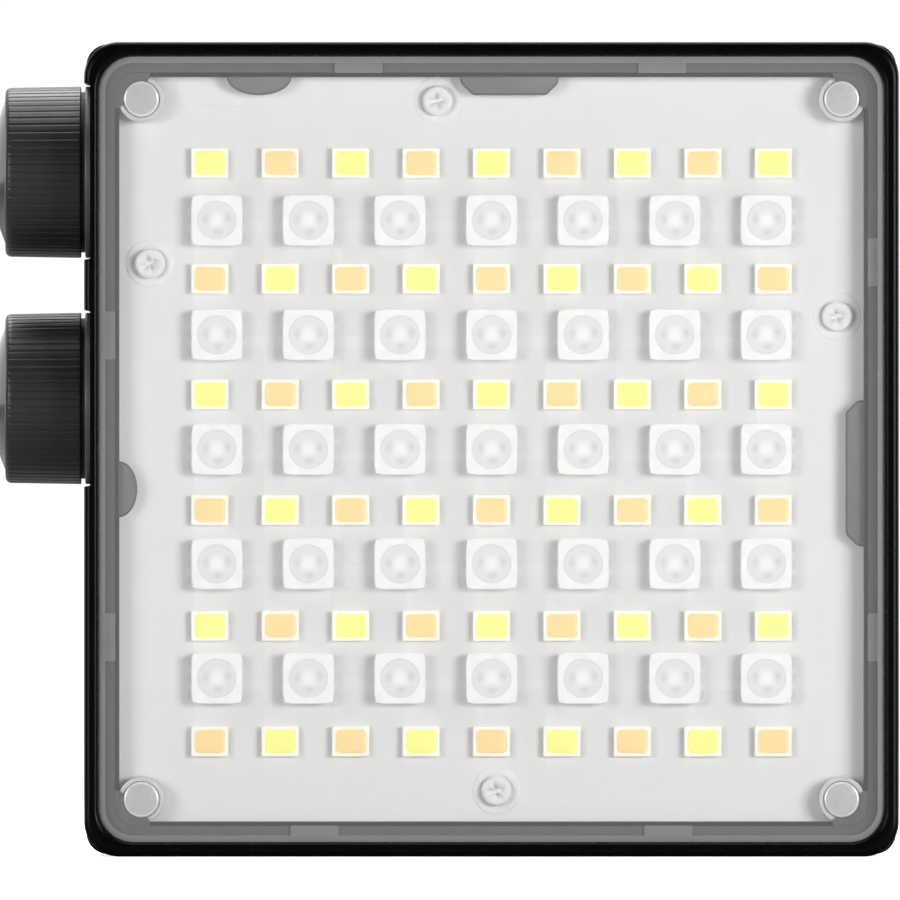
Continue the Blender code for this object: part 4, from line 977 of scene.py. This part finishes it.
def front_cover():
    """The clear plate with its bevelled edge, and the eight snap tabs behind it."""
    front = COVER_LOW.y
    back = front + COVER_THICKNESS
    edge = [
        (back, COVER_BAND, 0.0), (back, 0.0, COVER_EDGE), (front + COVER_BEVEL_DEPTH, 0.0, COVER_EDGE),
        (front, COVER_BEVEL, COVER_EDGE), (front, COVER_BAND, 0.0)
    ]
    rings = []
    for y, step in filleted(edge, 3)[1:-1]:
        rings.append((rounded_square(RIM_WALL + COVER_GAP + step, COVER_CORNER - step), y))
    maker = loft(rings)
    for face in maker.faces:
        near, far = depth_range(face)
        face.material_index = int(far - near > COVER_EDGE and near < back - COVER_EDGE)
    plate = new_piece("clear_cover", maker, "cover_clear", "cover_bevel", smooth=25)
    settle(weighted(plate), "clear_plastic", "front_cover")
    tabs = bmesh.new()
    for side, offsets in TAB_OFFSETS.items():
        for offset in offsets:
            corners = []
            for along, inward in ((-1, 0), (1, 0), (1, 1), (-1, 1)):
                place = from_side(side, TAB_INSET, offset + along * TAB_WIDTH / 2, inward * TAB_THICKNESS)
                corners.append((*place, 0.0001))
            outline = filleted(corners, 2, closed=True)
            add_loft(tabs, [(outline, back + 0.00002), (outline, COVER_HIGH.y)])
    settle(new_piece("snap_tabs", tabs, "tab_clear"), "clear_plastic")


def round_lug(side, offset, width, reach):
    """Half an ellipse that stands in from the frame's wall."""
    steps = 18
    half = width / 2 - (LUG_REACH - reach)
    points = []
    for i in range(steps + 1):
        angle = math.pi * i / steps
        points.append(from_side(
            side, FRAME_INNER, offset + math.cos(angle) * half, math.sin(angle) * reach
        ))
    for end in (-1, 1):
        points.append(from_side(side, FRAME_INNER, offset + end * half, -LUG_ROOT))
    return points


def wide_lug(side, offset, width, reach):
    """A long lug with rounded corners that stands in from the frame's wall."""
    half = width / 2 - (LUG_REACH - reach)
    corner = LUG_CORNER * reach / LUG_REACH
    places = [
        (-half, -LUG_ROOT, 0.0), (half, -LUG_ROOT, 0.0), (half, reach - corner, LUG_SOFTENED),
        (half - corner, reach, LUG_SOFTENED), (corner - half, reach, LUG_SOFTENED),
        (-half, reach - corner, LUG_SOFTENED)
    ]
    path = filleted(places, 4, closed=True)
    return [from_side(side, FRAME_INNER, offset + along, inward) for along, inward in path]


def lug(outline_maker, *size):
    """One lug with a bevelled rim round a lighter flat face."""
    face = CHASSIS_LOW.y + LUG_DROP
    inner = outline_maker(*size, LUG_REACH - LUG_RIM)
    outer = outline_maker(*size, LUG_REACH)
    maker = loft([(inner, face), (outer, face + LUG_RIM * 0.7), (outer, BOARD_LOW.y + 0.0015)])
    for part in maker.faces:
        near, far = depth_range(part)
        part.material_index = int(abs(near - face) < 1e-6 and abs(far - face) < 1e-6)
    return new_piece(outline_maker.__name__, maker, "frame_grey", "lug_grey")


def corner_web(x, z):
    """The web that ties a magnet's post to the two walls of its corner."""
    side_x = math.copysign(1, x - CENTRE_X)
    side_z = math.copysign(1, z - CENTRE_Z)
    wall_x = CENTRE_X + side_x * (WIDTH / 2 - FRAME_INNER + WEB_ROOT)
    wall_z = CENTRE_Z + side_z * (HEIGHT / 2 - FRAME_INNER + WEB_ROOT)
    reach = WEB_REACH - FRAME_INNER + WEB_ROOT
    outline = filleted([
        (wall_x, wall_z, 0.0), (wall_x, wall_z - side_z * reach, 0.0),
        (wall_x - side_x * WEB_ROOT, wall_z - side_z * reach, WEB_ROOT),
        (x + side_x * 0.0003, z + side_z * 0.0003, 0.0022),
        (wall_x - side_x * reach, wall_z - side_z * WEB_ROOT, WEB_ROOT),
        (wall_x - side_x * reach, wall_z, 0.0)
    ], 6, closed=True)
    return prism(outline, CHASSIS_LOW.y + 0.00002, BOARD_LOW.y + 0.001)


def inner_frame():
    """The dark frame round the board, with its lugs and corner webs."""
    front = CHASSIS_LOW.y
    back = BOARD_HIGH.y
    levels = filleted([
        (back, FRAME_INSET, 0.0), (front, FRAME_INSET, FRAME_EDGE), (front, FRAME_INNER - FRAME_STEP, 0.0),
        (front + FRAME_STEP * 0.5, FRAME_INNER, 0.0), (back, FRAME_INNER, 0.0)
    ], 3, closed=True)
    rings = []
    for y, inset in levels:
        share = (inset - FRAME_INSET) / (FRAME_INNER - FRAME_INSET)
        rings.append((rounded_square(inset, COVER_CORNER + (FRAME_CORNER - COVER_CORNER) * share), y))
    maker = loft(rings, loop=True)
    # The step's faces at the inner edge take the third finish, a painted shade for the dark line where the
    # wall drops to the board.
    for face in maker.faces:
        near, far = depth_range(face)
        stepped = near > front - 1e-6 and far < front + FRAME_STEP * 0.6
        if stepped and far - near > FRAME_STEP * 0.4:
            face.material_index = 2
    wall = new_piece("inner_frame", maker, "frame_grey", "lug_grey", "frame_dark")
    work = [("UNION", corner_web(x, z)) for x, z in corner_places()]
    for x, z in corner_places():
        work.append(drill("Y", (x, 0.0, z), 48, (front - PAST, back + PAST, WEB_BORE)))
    pieces = [shaped(wall, work)]
    pieces += [lug(round_lug, *size) for size in ROUND_LUGS]
    pieces += [lug(wide_lug, *size) for size in WIDE_LUGS]
    settle(joined("inner_frame", pieces), "dark_frame", "chassis")


def magnets():
    """Four plated discs with a rounded rim in a painted highlight, and the pale sleeves that hold them."""
    for i in range(1, 5):
        low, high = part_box(f"corner_magnet_{i}")
        corners = [
            (high.y, 0.0, 0.0), (high.y, MAGNET_RADIUS, 0.0), (low.y, MAGNET_RADIUS, MAGNET_EDGE),
            (low.y, 0.0, 0.0)
        ]
        maker = turned(filleted(corners), "Y", ((low.x + high.x) / 2, 0.0, (low.z + high.z) / 2))
        # The rim's faces take the second finish, a painted highlight.
        for face in maker.faces:
            near, far = depth_range(face)
            face.material_index = int(1e-6 < far - near < MAGNET_EDGE)
        disc = new_piece(f"magnet_{i}", maker, "magnet_nickel", "magnet_edge", smooth=40)
        settle(disc, "magnet_nickel", f"corner_magnet_{i}")
    sleeves = bmesh.new()
    front = CHASSIS_LOW.y + 0.0004
    root = BOARD_LOW.y + 0.0014
    corners = [
        (root, SLEEVE_OUTER, 0.0), (front, SLEEVE_OUTER, 0.00012), (front, SLEEVE_INNER, 0.00008),
        (root, SLEEVE_INNER, 0.0)
    ]
    for x, z in corner_places():
        add_turned(sleeves, filleted(corners, 3, closed=True), "Y", (x, 0.0, z), 56, ring=True)
    settle(new_piece("magnet_sleeves", sleeves, "sleeve_pale"), "dark_frame")


# ---------------------------------------------------------------- LEDs


def white_case():
    """A small LED's white case with a shallow rectangular cup."""
    width, height = WHITE_SIZE
    top = -WHITE_HEIGHT

    def level(less, corner):
        return rectangle(0.0, 0.0, width - less, height - less, corner, 2)

    outer = level(0.0, 0.00012)
    lip = level(0.0001, 0.00012)
    cup = level(2 * WHITE_BORDER, 0.0004)
    floor = level(3 * WHITE_BORDER, 0.0003)
    return loft([(outer, 0.0), (outer, top + 0.00005), (lip, top), (cup, top), (floor, top + 0.0003)])


def white_fill():
    """The phosphor that fills the cup, slightly domed."""
    width, height = WHITE_SIZE
    rings = []
    for share, rise in ((0.96, -0.00002), (0.9, 0.00001), (0.7, 0.00004), (0.4, 0.00006)):
        across = (width - 2 * WHITE_BORDER) * share
        up = (height - 2 * WHITE_BORDER) * share
        rings.append((rectangle(0.0, 0.0, across, up, 0.0004 * share, 2), -WHITE_HEIGHT - rise))
    rings.insert(0, (rings[0][0], -WHITE_HEIGHT + 0.00028))
    return loft(rings)


def leads(rows, out, width, height, rise):
    """Plated leads down both sides of an LED, each standing out a little."""
    maker = bmesh.new()
    for side in (-1, 1):
        for row in rows:
            outline = rectangle(side * out, row, width, height)
            add_loft(maker, [(outline, 0.0), (outline, -rise)])
    return maker


def white_leads():
    return leads((0.0,), WHITE_SIZE[0] / 2 + 0.00004, 0.0003, WHITE_SIZE[1] * 0.7, 0.0003)


def rgb_leads():
    return leads((-0.0016, 0.0, 0.0016), RGB_SIDE / 2 + 0.00012, 0.0005, 0.0009, 0.00025)


def rgb_case():
    """A colour LED's square white case with a round tapered cup."""
    steps = RGB_CAVITY_STEPS
    top = -RGB_HEIGHT
    edge = 0.00008

    def square(half):
        """A square with cut corners that has as many points as the cup."""
        points = []
        for i in range(steps):
            angle = math.tau * i / steps
            stretch = half / max(abs(math.cos(angle)), abs(math.sin(angle)))
            stretch = min(stretch, half * math.sqrt(2) - 0.0002)
            points.append((stretch * math.cos(angle), stretch * math.sin(angle)))
        return points

    outer = square(RGB_SIDE / 2)
    cup = circle(0.0, 0.0, RGB_CAVITY, steps)
    floor = circle(0.0, 0.0, RGB_CAVITY - 0.00035, steps)
    return loft([
        (outer, 0.0), (outer, top + edge), (square(RGB_SIDE / 2 - edge), top), (cup, top),
        (floor, top + RGB_CAVITY_DEPTH)
    ])


def rgb_fill():
    """The clear silicone in the cup."""
    radius = RGB_CAVITY - 0.00002
    top = -RGB_HEIGHT + 0.00004
    profile = [
        (top + 0.00025, 0.0), (top + 0.00025, radius - 0.0002), (top, radius),
        (top - 0.00002, radius * 0.5), (top - 0.00003, 0.0)
    ]
    return turned(profile, "Y", (0.0, 0.0, 0.0), 24)


def led_board():
    """The board's sheet, and every LED on its two grids."""
    back = BOARD_HIGH.y
    outline = rounded_square(FRAME_INNER + 0.00005, FRAME_CORNER)
    sheet = new_piece("board_sheet", prism(outline, BOARD_FACE, back), "board_white")
    bore = (BOARD_FACE - PAST, back + PAST, SLEEVE_OUTER)
    holes = [drill("Y", (x, 0.0, z), 56, bore) for x, z in corner_places()]
    settle(shaped(sheet, holes), "white_board", "led_board")

    def where(grid, pitch, lowered):
        centre = (CENTRE_X, BOARD_FACE, CENTRE_Z - lowered)
        (columns, rows), (across, up) = grid, pitch
        return {"columns": columns, "rows": rows, "pitch_across": across, "pitch_up": up, "centre": centre}

    grid = grid_tree()
    white = where(WHITE_GRID, WHITE_PITCH, WHITE_LOWERED)
    colour = where(RGB_GRID, RGB_PITCH, 0.0)
    every, warm, cool = 0, 1, 2
    sets = (
        ("cool_cases", white_case, white, cool, "cool_case"),
        ("warm_cases", white_case, white, warm, "warm_case"),
        ("cool_fills", white_fill, white, cool, "cool_phosphor"),
        ("warm_fills", white_fill, white, warm, "warm_phosphor"),
        ("white_led_leads", white_leads, white, every, "led_leads"),
        ("rgb_cases", rgb_case, colour, every, "rgb_case"),
        ("rgb_fills", rgb_fill, colour, every, "rgb_silicone"),
        ("rgb_led_leads", rgb_leads, colour, every, "led_leads")
    )
    for name, maker, places, squares, look in sets:
        shape = new_piece("shape", maker(), look)
        made = new_piece(name, bmesh.new())
        grid.run(made, look, **places, squares=squares, unevenness=math.radians(0.4), seed=4, shape=shape)
        bpy.data.objects.remove(shape)
        settle(made, "white_board")


# ---------------------------------------------------------------- screws


def cross(depth_start, depth_end, reach, arm):
    """The cross-shaped driver recess of a screw."""
    outline = []
    for i in range(4):
        angle = math.radians(90 * i)
        cos, sin = math.cos(angle), math.sin(angle)
        for x, z in ((arm, arm), (arm, reach), (-arm, reach)):
            outline.append((x * cos - z * sin, x * sin + z * cos))
    outline = outline[::-1]
    taper = [(x * 0.6, z * 0.6) for x, z in outline]
    return loft([(outline, depth_start), (taper, depth_end)])


def screw_shape(radius, height, length, facing, look):
    """A pan-head screw with its head's underside at y = 0."""
    stem = 0.001
    profile = [
        (-facing * length, 0.0, 0.0), (-facing * length, 0.0007, 0.0),
        (-facing * (length - 0.0004), stem, 0.0), (0.0, stem, 0.0), (0.0, radius, 0.0001),
        (facing * height, radius, height * 0.6), (facing * height, 0.0, 0.0)
    ]
    head = new_piece("shape", turned(filleted(profile, 5), "Y", (0.0, 0.0, 0.0), 40), look)
    recess = cross(facing * (height + 0.0001), facing * height * 0.35, radius * 0.55, radius * 0.13)
    return shaped(head, [("DIFFERENCE", recess)])


def screw_set(tree, kind, size, facing, look, slot, seed):
    """The four screws of one kind, their cross recesses turned by chance."""
    names = [f"{kind}_{i}" for i in range(1, 5)]
    low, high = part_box(names[0])
    under = (low.y if facing < 0 else high.y) - facing * size[1]
    shape = screw_shape(*size, facing, look)
    points = bpy.data.meshes.new(f"{kind}s")
    points.from_pydata([(middle(name).x, under, middle(name).z) for name in names], [], [])
    made = placed(f"{kind}s", points)
    tree.run(made, look, shape=shape, most_turn=1.5, seed=seed)
    bpy.data.objects.remove(shape)
    settle(made, slot, *names)


def screws():
    tree = copies_tree()
    screw_set(tree, "board_screw", BOARD_SCREW, -1, "painted_screw", "white_screw", 3)
    rings = bmesh.new()
    low, top, corner = BOARD_FACE + 0.0001, BOARD_FACE - WASHER_RISE, WASHER_RISE * 0.8
    section = [
        (low, WASHER_OUTER, 0.0), (top, WASHER_OUTER, corner), (top, WASHER_INNER, corner),
        (low, WASHER_INNER, 0.0)
    ]
    for i in range(1, 5):
        axis = middle(f"board_screw_{i}")
        add_turned(rings, filleted(section, 3, closed=True), "Y", (axis.x, 0.0, axis.z), 48, ring=True)
    settle(new_piece("screw_washers", rings, "painted_screw"), "white_screw")
    screw_set(tree, "rear_screw", REAR_SCREW, 1, "black_screw", "black_screw", 8)


# ---------------------------------------------------------------- dials


def grip_profile(low, high, radius, cap_radius, bore):
    """The knob's section, with more points along its side where the grooves run out."""
    cavity = radius - SKIRT_WALL
    floor = high - 0.0029
    seat = low + 0.0011
    profile = filleted([
        (high, radius, 0.0001), (low, radius - 0.00013, 0.0008), (low, cap_radius, 0.00012),
        (seat, cap_radius, 0.0), (seat, bore, 0.0), (floor, bore, 0.0), (floor, cavity, 0.0),
        (high, cavity, 0.00015)
    ], 4, closed=True)
    refined = []
    for first, second in zip(profile, profile[1:] + profile[:1]):
        refined.append(first)
        outside = min(first[1], second[1]) > radius - 0.0006
        if outside and abs(first[0] - second[0]) > 0.003:
            for share in (0.04, 0.1, 0.5, 0.9, 0.96):
                refined.append(tuple(a + (b - a) * share for a, b in zip(first, second)))
    return refined


def dial(name, knurl):
    """One dial: the grooved knob, its domed cap, the seat ring behind it, and a dark sleeve inside that
    stands in for the shade in the gap between knob and seat.
    """
    body = f"{name}_turn"
    low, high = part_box(f"{name}_knob")
    axis = middle(f"{name}_knob")
    centre = (0.0, axis.y, axis.z)
    radius = (high.z - low.z) / 2
    cap_low, cap_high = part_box(f"{name}_cap")
    cap_radius = (cap_high.z - cap_low.z) / 2
    bore = span(f"{name}_shaft").z / 2 + 0.0001
    section = grip_profile(low.x, high.x, radius, cap_radius + 0.0001, bore)
    maker = turned(section, "X", centre, TEETH * STEPS_PER_TOOTH, ring=True)
    grip = new_piece(f"{name}_grip", maker, "knob_black", smooth=40)
    knurl.run(
        grip, "knob_black", centre=centre, teeth=float(TEETH), depth=GROOVE_DEPTH, share=GROOVE_SHARE,
        low=low.x + 0.00002, high=high.x + 0.0003, run_out=0.0006, least_radius=radius - 0.001
    )
    settle(grip, "dial_black", f"{name}_knob", body=body)
    rise = low.x - cap_low.x
    sphere = (cap_radius**2 + rise**2) / (2 * rise)
    widest = math.asin(cap_radius / sphere)
    steps = 14
    dome = [(cap_high.x, 0.0), (cap_high.x, cap_radius)]
    for i in range(steps):
        angle = widest * (1 - i / steps)
        dome.append((cap_low.x + sphere * (1 - math.cos(angle)), sphere * math.sin(angle)))
    dome.append((cap_low.x, 0.0))
    cap = new_piece(f"{name}_dome", turned(dome, "X", centre, 96), "cap_satin", smooth=40)
    settle(cap, "cap_gloss", f"{name}_cap", body=body)
    seat_low, seat_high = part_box(f"{name}_seat")
    hole = radius - 0.0025
    back = seat_high.x + SEAT_GAP
    edge = [
        (back, radius, 0.0), (seat_low.x, radius, 0.00015), (seat_low.x, hole, 0.0001), (back, hole, 0.0)
    ]
    maker = turned(filleted(edge, 4, closed=True), "X", centre, 128, ring=True)
    settle(new_piece(f"{name}_ring", maker, "seat_metal", smooth=40), "seat_grey", f"{name}_seat")
    # A dark sleeve inside the knob's skirt: painted shade, so the gap between knob and seat reads black.
    outer = radius - SKIRT_WALL - SHADE_SLEEVE_GAP
    inner = outer - SHADE_SLEEVE_WALL
    front = seat_low.x - SHADE_SLEEVE_REACH
    shade_sleeve = [(front, outer), (front, inner), (seat_low.x, inner), (seat_low.x, outer)]
    sleeve = new_piece(f"{name}_collar", turned(shade_sleeve, "X", centre, 96, ring=True), "inner_black")
    settle(sleeve, "seat_grey")


def dials():
    knurl = knurl_tree()
    for name in DIALS:
        dial(name, knurl)


# ---------------------------------------------------------------- back, port and insert


def power_mark(x, z):
    """A broken ring and a bar."""
    arc = []
    for radius, order in ((0.00125, 1), (0.00105, -1)):
        angles = [math.radians(125 + 290 * i / 24) for i in range(25)]
        row = [(x + radius * math.cos(angle), z + radius * math.sin(angle)) for angle in angles]
        arc += row[::order]
    return [arc, rectangle(x, z + 0.00095, 0.0002, 0.0011)]


def mode_mark(x, z):
    """Three bars."""
    return [rectangle(x, z + height, 0.0018, 0.00022) for height in (-0.0006, 0.0, 0.0006)]


def buttons():
    """Two round buttons with a dished face, each with a plain mark."""
    for name, body, mark in (
        ("power_button", "power_key", power_mark), ("mode_button", "mode_key", mode_mark)
    ):
        low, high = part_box(name)
        axis = middle(name)
        radius = 0.0038
        stem = 0.0015
        flange = (high.x - low.x) / 2
        back = high.y
        profile = [
            (low.y, 0.0, 0.0), (low.y, stem, 0.0), (back - 0.0029, stem, 0.0), (back - 0.0029, flange, 0.0),
            (back - 0.0023, flange, 0.0), (back - 0.0023, radius, 0.0), (back, radius, 0.0003),
            (back, radius - 0.0006, 0.0002), (back - 0.00018, radius - 0.0012, 0.0004),
            (back - 0.00022, 0.0, 0.0)
        ]
        maker = turned(filleted(profile, 5), "Y", (axis.x, 0.0, axis.z), 72)
        settle(new_piece(f"{name}_cap", maker, "button_black", smooth=40), "button_black", name, body=body)
        marks = bmesh.new()
        face = back - 0.00023
        for outline in mark(axis.x, axis.z):
            add_loft(marks, [(outline, face - 0.00005), (outline, face + 0.00008)])
        settle(new_piece(f"{name}_mark", marks, "mark_white"), "button_black", body=body)


def port():
    """The drawn steel shell of the charging port, and the plated contacts on its tongue."""
    low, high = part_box("usb_c_shell")
    y = (low.y + high.y) / 2
    z = (low.z + high.z) / 2
    wall = 0.0003
    edge = [(low.x, 0.0, 0.0), (high.x, 0.0, 0.0001), (high.x, wall, 0.0001), (low.x + wall, wall, 0.0)]
    rings = []
    for x, inset in filleted(edge, 3):
        wide = high.y - low.y - 2 * inset
        rings.append((rectangle(y, z, wide, high.z - low.z - 2 * inset, wide * 0.497, 10), x))
    settle(new_piece("port_shell", loft(rings, "X"), "port_steel"), "bright_steel", "usb_c_shell")
    contacts = bmesh.new()
    tongue_low, tongue_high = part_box("usb_c_tongue")
    for side, face in ((-1, tongue_low.y), (1, tongue_high.y)):
        for i in range(12):
            outline = rectangle(face + side * 0.00002, z + (i - 5.5) * 0.0005, 0.00006, 0.00026)
            add_loft(contacts, [(outline, tongue_high.x - 0.003), (outline, tongue_high.x - 0.0003)], "X")
    settle(new_piece("port_contacts", contacts, "contact_gold"), "bright_steel")


def tripod_insert():
    """The brass insert: a flanged sleeve with a thread winding up its bore."""
    low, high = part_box("tripod_insert")
    axis = middle("tripod_insert")
    flange = (high.x - low.x) / 2
    sleeve = flange - 0.0007
    bore = sleeve - 0.0016
    ledge = low.z + 0.001
    profile = [
        (low.z, flange, 0.00015), (ledge, flange, 0.0), (ledge, sleeve, 0.0), (high.z, sleeve, 0.0001),
        (high.z, bore, 0.0), (low.z, bore, 0.0004)
    ]
    maker = turned(filleted(profile, 3, closed=True), "Z", (axis.x, axis.y, 0.0), 72, ring=True)
    ring = new_piece("insert_sleeve", maker, "insert_brass", smooth=40)
    pitch = 0.00127
    turns = (high.z - low.z - 0.0012) / pitch
    thread = new_piece("insert_thread", bmesh.new())
    thread_tree().run(thread, "insert_brass", turns=turns, radius=bore, height=turns * pitch, size=0.00042)
    thread.data.transform(Matrix.Translation((axis.x, axis.y, low.z + 0.0006)))
    settle(ring, "insert_brass", "tripod_insert")
    settle(thread, "insert_brass")


def display():
    """The window over the display: a clear pane with a dark printed border behind it."""
    low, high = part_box("display_window")
    x = (low.x + high.x) / 2
    z = (low.z + high.z) / 2

    def pane(less, corner):
        return rectangle(x, z, high.x - low.x - less, high.z - low.z - less, corner, 6)

    edge = [(low.y, 0.003, 0.0), (low.y, 0.0, 0.0), (high.y, 0.0, 0.00015), (high.y, 0.003, 0.0)]
    rings = [(pane(2 * inset, 0.001), y) for y, inset in filleted(edge, 4)[1:-1]]
    settle(new_piece("display_pane", loft(rings), "pane_clear"), "clear_plastic", "display_window")
    outside = pane(0.0002, 0.001)
    inside = pane(0.0044, 0.0006)
    deep, shallow = low.y - 0.00004, low.y - 0.00001
    rings = [(outside, deep), (outside, shallow), (inside, shallow), (inside, deep)]
    settle(new_piece("display_border", loft(rings, loop=True), "border_black"), "display_glass")


def carried_over():
    """Finishes for the CAD pieces that keep their own shape."""
    looks = {
        "thermal_pad": "pad_grey", "heat_plate": "plate_aluminium", "control_board": "green_mask",
        "encoder_board": "green_mask", "battery_pack": "wrap_blue", "battery_connector": "connector_cream",
        "battery_lead_red": "lead_red", "battery_lead_black": "lead_black", "led_ribbon": "ribbon_amber",
        "usb_c_tongue": "inner_black", "display_holder": "inner_black", "display_module": "display_face",
        "power_switch": "nut_nickel", "mode_switch": "nut_nickel"
    }
    for name in DIALS:
        looks |= {
            f"{name}_nut": "nut_nickel", f"{name}_bush": "bright_steel", f"{name}_encoder": "inner_black",
            f"{name}_plunger": "plunger_cream", f"{name}_shaft": "bright_steel"
        }
    for name, look in looks.items():
        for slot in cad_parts[name].material_slots:
            slot.material = finish(look)


# ---------------------------------------------------------------- studio


def room():
    """A white room when seen, whose light comes mostly from behind the piece."""
    world = bpy.data.worlds.new("room")
    bpy.context.scene.world = world
    world.use_nodes = True
    tree = Wiring(world.node_tree)
    tree.tree.nodes.clear()
    white = (1.0, 1.0, 1.0)
    direction = tree.add("TexCoord", output="Generated")
    rearwards = tree.add("SeparateXYZ", {0: direction}, output="Y")
    level = tree.add("MapRange", {
        "Value": rearwards, "From Min": -0.6, "From Max": 0.9, "To Min": 0.03, "To Max": 1.0
    })
    dim = tree.add("Background", {"Color": white, "Strength": level})
    bright = tree.add("Background", {"Color": white, "Strength": 1.05})
    seen = tree.add("LightPath", output="Is Camera Ray")
    tree.add("OutputWorld", {"Surface": tree.add("MixShader", {0: seen, 1: dim, 2: bright})})


def studio():
    """A pale floor, a soft white room, and soft boxes above, in front and to the sides."""
    scene = bpy.context.scene
    scene.view_settings.view_transform = "Standard"
    room()
    aim = Vector((CENTRE_X, 0.0, CENTRE_Z))
    boxes = (
        ("overhead", (0.0, -0.03, 0.5), (0.5, 0.2), 1.2),
        ("left_front", (-0.42, -0.56, 0.07), (0.3, 0.22), 1.6),
        ("right_front", (0.42, -0.56, 0.07), (0.3, 0.22), 3.1),
        ("right_side", (0.55, 0.2, 0.05), (0.3, 0.4), 1.2),
        ("left_side", (-0.6, 0.3, 0.1), (0.3, 0.4), 1.2), ("high_back", (0.0, 0.35, 0.45), (0.5, 0.3), 2.6)
    )
    for name, place, size, power in boxes:
        lamp = bpy.data.lights.new(name, "AREA")
        lamp.shape = "RECTANGLE"
        lamp.size, lamp.size_y = size
        lamp.energy = power
        made = placed(name, lamp)
        made.location = Vector(place) + aim
        made.rotation_euler = (aim - made.location).to_track_quat("-Z", "Y").to_euler()
    floor = prism(rectangle(0.0, 0.0, 3.0, 3.0), -0.01, 0.0, "Z")
    new_piece("floor", floor, "pale_floor")


def camera():
    """A long lens straight in front of the body."""
    data = bpy.data.cameras.new("camera")
    data.sensor_width = SENSOR
    data.lens = SENSOR * VIEW_DISTANCE / VIEW_WIDTH
    data.clip_end = 10.0
    made = placed("camera", data)
    made.location = Vector((CENTRE_X, FRONT - VIEW_DISTANCE, CENTRE_Z)) + VIEW_SHIFT
    made.rotation_euler = (math.radians(90), 0.0, 0.0)
    bpy.context.scene.camera = made


camera()
studio()
housing()
rear_cover()
front_cover()
inner_frame()
magnets()
led_board()
screws()
dials()
buttons()
port()
tripod_insert()
display()
carried_over()
